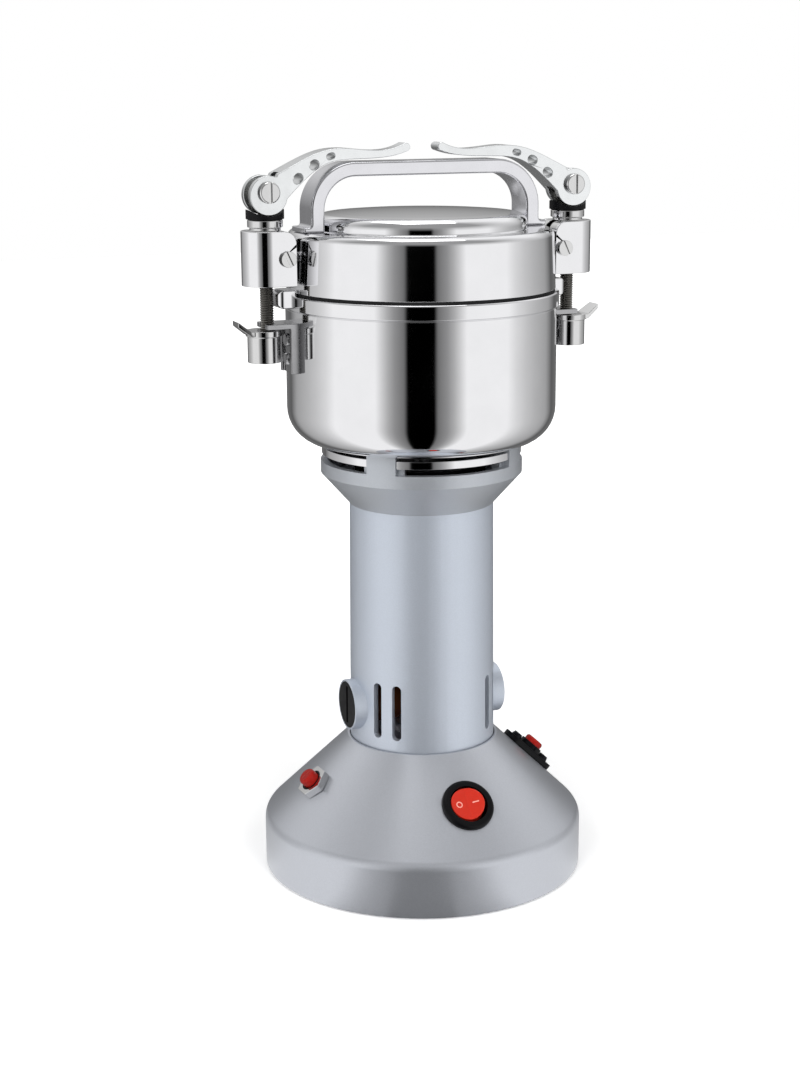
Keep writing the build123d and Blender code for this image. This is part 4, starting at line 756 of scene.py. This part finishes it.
class MILL_OT_lid(bpy.types.Operator):
    """Turn the domed lid and add the lugs that its clamps swing on"""

    bl_idname = "mill.lid"
    bl_label = "Lid"

    def execute(self, context):
        sizes = context.scene.mill_sizes
        foot = sizes.lid_foot_radius / MM
        rim = sizes.lid_rim_radius / MM
        crown = sizes.crown_radius / MM
        wall = sizes.bowl_wall / MM
        skirt, skirt_bottom, skirt_top = 57.3, 258.7, 268.2
        foot_bottom, shoulder = 265.2, 290.8
        crown_top, crown_edge = 299.1, 297.0
        ring_count, first_ring, ring_step = 9, 0.5, 4.5
        rise = crown_top - crown_edge
        dome = (crown ** 2 + rise ** 2) / (2 * rise)
        reaches = [first_ring + ring_step * step for step in range(ring_count)]
        outside = [
            Vector((reach, crown_top - dome + sqrt(dome ** 2 - reach ** 2))) for reach in reaches
        ]
        inside = [point - Vector((0, wall)) for point in reversed(outside)]
        shell = outline([
            (reaches[-1] + 0.1, outside[-1].y, 0), (crown, crown_edge, 4.5),
            (crown, shoulder, 0.6), (rim, shoulder, 3.2), (foot, foot_bottom, 0.3),
            (skirt, foot_bottom, 0), (skirt, skirt_bottom, 0), (skirt - wall, skirt_bottom, 0),
            (skirt - wall, skirt_top, 0), (foot - wall - 0.12, skirt_top, 0),
            (rim - wall, shoulder - wall, 1.6), (crown - wall, shoulder - wall, 0),
            (crown - wall, crown_edge - 1.5, 2.9), (reaches[-1], inside[0].y, 0),
        ], 10)
        lid = turned(outside + shell + inside[1:], sizes.turning_steps, cap_start=True,
                     cap_end=True)
        swing_height, swing_place = 280.5, 64.2
        lug_thickness, lug_end_radius = 4, 2.9
        lug_reach, lug_root, root_growth = 4.3, 57, 5
        lugs = []
        for _, side in SIDES:
            bpy.ops.object.select_all(action="DESELECT")
            bpy.ops.mesh.primitive_cylinder_add(
                vertices=32, radius=lug_end_radius * MM, depth=lug_thickness * MM,
                location=(side * swing_place * MM, 0, swing_height * MM),
                rotation=(pi / 2, 0, 0),
            )
            lug = bpy.context.object
            settle(lug)
            select_faces(
                lug, lambda face: face.normal.x * side < -0.97 and abs(face.normal.y) < 0.1
            )
            bpy.ops.mesh.extrude_region_move(
                TRANSFORM_OT_translate={"value": (-side * lug_reach * MM, 0, 0)}
            )
            bpy.ops.transform.resize(
                value=(1, 1, root_growth),
                center_override=(side * lug_root * MM, 0, swing_height * MM),
            )
            bpy.ops.object.mode_set(mode="OBJECT")
            lugs.append(lug)
        lug = joined(lugs)
        smooth(lug)
        complete(lug, "lid_lugs", "root", "polished_steel")
        smooth(lid)
        complete(lid, "lid_finished", "root", "polished_steel", "lid")
        return {"FINISHED"}


class MILL_OT_handle(bpy.types.Operator):
    """Round the edges of the carry handle"""

    bl_idname = "mill.handle"
    bl_label = "Carry handle"

    def execute(self, context):
        sizes = context.scene.mill_sizes
        dressed("handle", sizes.handle_edge, 3)
        dressed("handle_screws", sizes.fine_edge, 2)
        repaint("lid_seal")
        return {"FINISHED"}


class MILL_OT_clamps(bpy.types.Operator):
    """Dress the straps, barrels, cam pads, levers and pivot screws of both clamps"""

    bl_idname = "mill.clamps"
    bl_label = "Clamps"

    def execute(self, context):
        sizes = context.scene.mill_sizes
        for side, _ in SIDES:
            dressed(f"{side}_clamp_strap", sizes.pressed_edge, 3)
            dressed(f"{side}_clamp_barrel", sizes.pressed_edge, 3)
            dressed(f"{side}_cam_pad", sizes.pressed_edge, 2)
            dressed(f"{side}_cam_lever", sizes.pressed_edge, 4)
            dressed(f"{side}_lever_screw", sizes.fine_edge, 2)
        dressed("clamp_pivots", sizes.fine_edge, 2)
        return {"FINISHED"}


class MILL_OT_rods(bpy.types.Operator):
    """Cut the thread of the clamp rods, and join it to the eyes at their tops"""

    bl_idname = "mill.rods"
    bl_label = "Clamp rods"

    def execute(self, context):
        sizes = context.scene.mill_sizes
        rod_place = 70.6 * MM
        rod_radius = 3.0 * MM
        thread_top = 296.0 * MM
        thread_steps = 24
        for side_name, side in SIDES:
            node = f"{side_name}_clamp_rod"
            low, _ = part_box(node)
            turns = int((thread_top - low.z) / sizes.thread_pitch) - 1
            eye = copy_of(node)
            pick(eye)
            edit()
            bpy.ops.mesh.bisect(
                plane_co=(0, 0, low.z + turns * sizes.thread_pitch), plane_no=(0, 0, 1),
                clear_inner=True, use_fill=True,
            )
            bpy.ops.object.mode_set(mode="OBJECT")
            round_edges(eye, sizes.thin_edge, 2)
            bpy.ops.object.select_all(action="DESELECT")
            bpy.ops.mesh.primitive_plane_add(size=MM)
            thread = bpy.context.object
            edit("VERT")
            bpy.ops.mesh.merge(type="CENTER")
            bpy.ops.transform.translate(value=(rod_radius - sizes.thread_depth, 0, low.z))
            for across in (sizes.thread_depth, -sizes.thread_depth):
                bpy.ops.mesh.extrude_vertices_move(
                    TRANSFORM_OT_translate={"value": (across, 0, sizes.thread_pitch / 2)}
                )
            bpy.ops.object.mode_set(mode="OBJECT")
            apply_modifier(
                thread, "SCREW", axis="Z", angle=2 * pi, screw_offset=sizes.thread_pitch,
                iterations=turns, steps=thread_steps, render_steps=thread_steps,
                use_merge_vertices=True, merge_threshold=MERGE_DISTANCE,
            )
            edit("EDGE")
            bpy.ops.mesh.remove_doubles(threshold=MERGE_DISTANCE)
            bpy.ops.mesh.select_all(action="DESELECT")
            bpy.ops.mesh.select_non_manifold()
            bpy.ops.mesh.fill()
            bpy.ops.mesh.select_all(action="SELECT")
            bpy.ops.mesh.normals_make_consistent(inside=False)
            bpy.ops.transform.translate(value=(side * rod_place, 0, 0))
            bpy.ops.object.mode_set(mode="OBJECT")
            rod = joined([eye, thread])
            smooth(rod)
            complete(rod, f"{node}_finished", body_with(node), "threaded_steel", node)
        return {"FINISHED"}


class MILL_OT_catches(bpy.types.Operator):
    """Dress the catch brackets, their rivets and the hooks under them"""

    bl_idname = "mill.catches"
    bl_label = "Catches"

    def execute(self, context):
        sizes = context.scene.mill_sizes
        dressed("catch_brackets", sizes.pressed_edge, 3)
        dressed("catch_rivets", sizes.fine_edge, 2)
        for side, _ in SIDES:
            dressed(f"{side}_clamp_hook", sizes.pressed_edge, 3)
        return {"FINISHED"}


class MILL_OT_collar(bpy.types.Operator):
    """Dress the collar under the bowl and the bright ring in its windows"""

    bl_idname = "mill.collar"
    bl_label = "Collar"

    def execute(self, context):
        sizes = context.scene.mill_sizes
        dressed("collar", sizes.thin_edge, 2, sharper_than=50.0)
        dressed("trim_ring", sizes.pressed_edge, 3)
        repaint("cooling_fan", "shaft_seal", "bowl_bolts", "tie_bolts")
        return {"FINISHED"}


class MILL_OT_column(bpy.types.Operator):
    """Dress the motor column with its slots and bosses, and the brush caps"""

    bl_idname = "mill.column"
    bl_label = "Motor column"

    def execute(self, context):
        sizes = context.scene.mill_sizes
        dressed("motor_housing", sizes.fine_edge, 2, sharper_than=65.0)
        dressed("brush_caps", sizes.pressed_edge, 3)
        return {"FINISHED"}


class MILL_OT_base(bpy.types.Operator):
    """Dress the base housing, its plate, feet, screws and grommet"""

    bl_idname = "mill.base"
    bl_label = "Base"

    def execute(self, context):
        sizes = context.scene.mill_sizes
        dressed("base_housing", 0.0)
        dressed("cord_grommet", sizes.pressed_edge, 3)
        dressed("rubber_feet", sizes.pressed_edge, 2)
        repaint("bottom_plate", "base_screws")
        return {"FINISHED"}


class MILL_OT_controls(bpy.types.Operator):
    """Dress the switch, the reset button and the push button, and print the rocker's legend"""

    bl_idname = "mill.controls"
    bl_label = "Controls"

    def execute(self, context):
        sizes = context.scene.mill_sizes
        dressed("switch_frame", sizes.fine_edge, 2)
        dressed("rocker_button", sizes.pressed_edge, 3)
        dressed("reset_nut", sizes.pressed_edge, 2)
        dressed("reset_breaker", sizes.fine_edge, 2)
        dressed("reset_button", sizes.fine_edge, 2)
        dressed("button_housing", sizes.fine_edge, 2)
        dressed("button_screws", sizes.fine_edge, 2)
        dressed("side_button", sizes.fine_edge, 2)
        cone_slope = radians(44.09326)
        pivot = Vector((0, -51.1427, 41.7045)) * MM
        rest_tilt = radians(-8)
        rocker_radius, dish_depth, dish_height = 7.45, 1.3, 4.8
        dish_slope = atan2(dish_depth, rocker_radius)
        ink = 0.14
        ring_outside, ring_inside = 1.45, 1.0
        bar_length, bar_width, bar_edge = 3.0, 0.55, 0.05
        rest = (
            Matrix.Translation(pivot) @ Matrix.Rotation(cone_slope, 4, "X")
            @ Matrix.Rotation(rest_tilt, 4, "Y")
        )
        ring = turned([
            (ring_outside, 0), (ring_outside, ink), (ring_inside, ink), (ring_inside, 0),
            (ring_outside, 0),
        ], 40, close=True)
        bpy.ops.object.select_all(action="DESELECT")
        bpy.ops.mesh.primitive_cube_add(size=1)
        bar = bpy.context.object
        bar.scale = (bar_length * MM, bar_width * MM, ink * MM)
        bar.location.z = ink / 2 * MM
        settle(bar)
        round_edges(bar, bar_edge * MM, 2)
        for mark, name, across, lean in (
            (ring, "rocker_off_mark", -3.9, dish_slope), (bar, "rocker_on_mark", 3.6, -dish_slope)
        ):
            height = dish_height + dish_depth * abs(across) / rocker_radius
            mark.matrix_world = (
                rest @ Matrix.Translation(Vector((across, 0, height)) * MM)
                @ Matrix.Rotation(lean, 4, "Y")
            )
            smooth(mark)
            complete(mark, name, "rocker", "white_ink")
        return {"FINISHED"}


class MILL_OT_motor(bpy.types.Operator):
    """Finish the motor and the blades inside the mill"""

    bl_idname = "mill.motor"
    bl_label = "Motor and blades"

    def execute(self, context):
        sizes = context.scene.mill_sizes
        for node in ("lower_blade", "upper_blade", "blade_nut"):
            dressed(node, sizes.pressed_edge, 2)
        repaint(
            "brush_holders", "carbon_brushes", "brush_springs", "stator_core", "stator_coils",
            "lower_bracket", "lower_bearing", "upper_bearing", "motor_shaft", "armature_core",
            "armature_windings", "commutator", "blade_spacers",
        )
        return {"FINISHED"}


# ---------------------------------------------------------------- stage


# Metres and watts. Polished steel reflects the tent, and only the top lamp with it.
FLOOR_SIZE = 6
TENT_RADIUS, TENT_HEIGHT = 2.2, 3.0
TENT_FRONT = radians(-112.15)       # the tent's X axis points to the camera
CAMERA_PLACE = (-0.3212, -0.7893, 0.3576)
CAMERA_ANGLES = (radians(-21.493), radians(76.6), radians(-0.3))
LAMPS = (
    # name, place, aim, width, height, power, seen in reflections
    ("key", (-1.25, -1.1, 1.15), (0, 0, 0.2), 0.8, 1.2, 18.5, False),
    ("fill", (0.2, -1.65, 1.15), (0, 0, 0.2), 0.8, 1.2, 18.5, False),
    ("top", (0.0, 0.1, 1.7), (0, 0, 0.1), 1.0, 1.0, 6, True),
)


class MILL_OT_stage(bpy.types.Operator):
    """Set the floor, the lamps, the world and the camera"""

    bl_idname = "mill.stage"
    bl_label = "Stage"

    def execute(self, context):
        scene = context.scene
        scene.view_settings.view_transform = "Standard"
        bpy.ops.object.select_all(action="DESELECT")
        bpy.ops.mesh.primitive_plane_add(size=FLOOR_SIZE)
        floor = context.object
        floor.name = "floor"
        floor.data.materials.append(studio_floor(scene.mill_colours))
        bpy.ops.object.select_all(action="DESELECT")
        bpy.ops.mesh.primitive_cylinder_add(
            vertices=96, radius=TENT_RADIUS, depth=TENT_HEIGHT,
            location=(0, 0, TENT_HEIGHT / 2 + MM), rotation=(0, 0, TENT_FRONT),
        )
        tent = context.object
        tent.name = "light_tent"
        tent.data.materials.append(light_tent())
        tent.visible_camera = False
        tent.visible_diffuse = False
        tent.visible_shadow = False
        for name, place, aim, width, height, power, reflected in LAMPS:
            bpy.ops.object.light_add(type="AREA", location=place)
            lamp = context.object
            lamp.name = name
            lamp.data.shape = "RECTANGLE"
            lamp.data.size = width
            lamp.data.size_y = height
            lamp.data.energy = power
            lamp.visible_glossy = reflected
            toward = Vector(aim) - Vector(place)
            lamp.rotation_euler = toward.to_track_quat("-Z", "Y").to_euler()
        studio_world(scene)
        bpy.ops.object.camera_add(location=CAMERA_PLACE)
        camera = context.object
        turn, tilt, roll = CAMERA_ANGLES
        camera.rotation_euler = (
            Matrix.Rotation(turn, 3, "Z") @ Matrix.Rotation(tilt, 3, "X")
            @ Matrix.Rotation(roll, 3, "Z")
        ).to_euler()
        camera.data.sensor_fit = "HORIZONTAL"
        camera.data.sensor_width = 36
        camera.data.lens = 87.68
        camera.data.clip_start = 0.02
        scene.camera = camera
        return {"FINISHED"}


def seen_ray(tree, *kinds):
    """1 for rays of the kinds that are named, otherwise 0."""
    path = add_node(tree, "ShaderNodeLightPath")
    seen = path.outputs[kinds[0]]
    for kind in kinds[1:]:
        seen = add_node(
            tree, "ShaderNodeMath", {"operation": "MAXIMUM"}, {0: seen, 1: path.outputs[kind]}
        ).outputs[0]
    return seen


def studio_floor(colours):
    """Matt paper that takes the mill's shadow and shows white to the camera all round it."""
    material, tree, principled, place = new_material("Studio paper", Roughness=0.9)
    principled.inputs["Base Color"].default_value = colours.floor
    principled.inputs["Specular IOR Level"].default_value = 0.1
    principled.inputs["Emission Color"].default_value = (1, 1, 1, 1)
    away = add_node(
        tree, "ShaderNodeVectorMath", {"operation": "LENGTH"}, {0: place}
    ).outputs["Value"]
    near, far = 0.1, 0.7
    glow = between(tree, away, 0.3, 1.0, near, far)
    lit = add_node(
        tree, "ShaderNodeMath", {"operation": "MULTIPLY"},
        {0: glow, 1: seen_ray(tree, "Is Camera Ray")},
    ).outputs[0]
    tree.links.new(lit, principled.inputs["Emission Strength"])
    bump(tree, principled, noise(tree, place, 2.0, 2.0), 0.02, 0.2)
    return material


# Degrees from the front of the tent, with the grey there.
TENT_BANDS = (
    (0, "000000"), (11, "000000"), (14, "787878"), (21.5, "989898"), (27, "B8B8B8"),
    (32, "DADADA"), (38, "FFFFFF"), (76, "FFFFFF"), (86, "E6E6E6"), (98, "D0D0D0"),
    (109, "C0C0C0"), (129, "A8A8A8"), (143, "606060"), (160, "707070"),
)


def light_tent():
    """Paper tent for polished steel: a black gap in front, white flanks, and a dim back.

    The bands run from the front (0 degrees) to the back (180). Upward they fade to grey in
    front and to white at the back.
    """
    material = bpy.data.materials.new("Light tent")
    material.use_nodes = True
    tree = material.node_tree
    tree.nodes.remove(tree.nodes["Principled BSDF"])
    place = add_node(tree, "ShaderNodeTexCoord").outputs["Object"]
    parts = add_node(tree, "ShaderNodeSeparateXYZ", inputs={"Vector": place}).outputs
    angle = add_node(
        tree, "ShaderNodeMath", {"operation": "ARCTAN2"}, {0: parts["Y"], 1: parts["X"]}
    ).outputs[0]
    angle = add_node(tree, "ShaderNodeMath", {"operation": "ABSOLUTE"}, {0: angle}).outputs[0]
    bands = add_node(
        tree, "ShaderNodeValToRGB", inputs={"Fac": between(tree, angle, 0.0, 1.0, 0.0, pi)}
    )
    stops = bands.color_ramp.elements
    last_degree, last_code = TENT_BANDS[-1]
    stops[1].position = last_degree / 180
    stops[1].color = linear(last_code)
    for degree, code in TENT_BANDS[1:-1]:
        stops.new(degree / 180).color = linear(code)
    fade_from, fade_to = -1.25, 0.2
    side_angle, back_angle = 1.2, 2.2
    upward = between(tree, parts["Z"], 0.0, 1.0, fade_from, fade_to)
    behind = between(tree, angle, 0.0, 1.0, side_angle, back_angle)
    above = blend_colours(tree, behind, linear("A0A0A0"), linear("FFFFFF"))
    shown = blend_colours(tree, upward, bands.outputs["Color"], above)
    glow = add_node(tree, "ShaderNodeEmission", inputs={"Color": shown, "Strength": 1.0})
    tree.links.new(
        glow.outputs["Emission"], tree.nodes["Material Output"].inputs["Surface"]
    )
    return material


def studio_world(scene):
    """White walls: full white to the camera and in reflections, softer as light."""
    world = bpy.data.worlds.new("Studio")
    scene.world = world
    world.use_nodes = True
    tree = world.node_tree
    background = tree.nodes["Background"]
    background.inputs["Color"].default_value = (1, 1, 1, 1)
    seen = seen_ray(tree, "Is Camera Ray", "Is Glossy Ray", "Is Transmission Ray")
    strength = add_node(
        tree, "ShaderNodeMapRange", inputs={"Value": seen, "To Min": 0.3, "To Max": 1.0}
    )
    tree.links.new(strength.outputs["Result"], background.inputs["Strength"])


OPERATORS = (
    MILL_OT_bowl, MILL_OT_lid, MILL_OT_handle, MILL_OT_clamps, MILL_OT_rods, MILL_OT_catches,
    MILL_OT_collar, MILL_OT_column, MILL_OT_base, MILL_OT_controls, MILL_OT_motor, MILL_OT_stage,
)


class MILL_PT_panel(bpy.types.Panel):
    """Lists the mill's settings and pieces"""

    bl_idname = "MILL_PT_panel"
    bl_label = "Grain mill"
    bl_space_type = "VIEW_3D"
    bl_region_type = "UI"
    bl_category = "Grain mill"

    def draw(self, context):
        layout = self.layout
        for group in (context.scene.mill_sizes, context.scene.mill_colours):
            box = layout.box()
            for name in group.__annotations__:
                box.prop(group, name)
        for operator in OPERATORS:
            layout.operator(operator.bl_idname)


CLASSES = (MillSizes, MillColours, *OPERATORS, MILL_PT_panel)


def register():
    """Register the classes and the scene's settings."""
    for item in CLASSES:
        bpy.utils.register_class(item)
    bpy.types.Scene.mill_sizes = PointerProperty(type=MillSizes)
    bpy.types.Scene.mill_colours = PointerProperty(type=MillColours)


def unregister():
    """Remove the scene's settings and the classes."""
    del bpy.types.Scene.mill_colours
    del bpy.types.Scene.mill_sizes
    for item in reversed(CLASSES):
        bpy.utils.unregister_class(item)


def main():
    """Build every piece and the stage."""
    register()
    for operator in OPERATORS:
        group, name = operator.bl_idname.split(".")
        getattr(getattr(bpy.ops, group), name)()


if __name__ == "__main__":
    main()
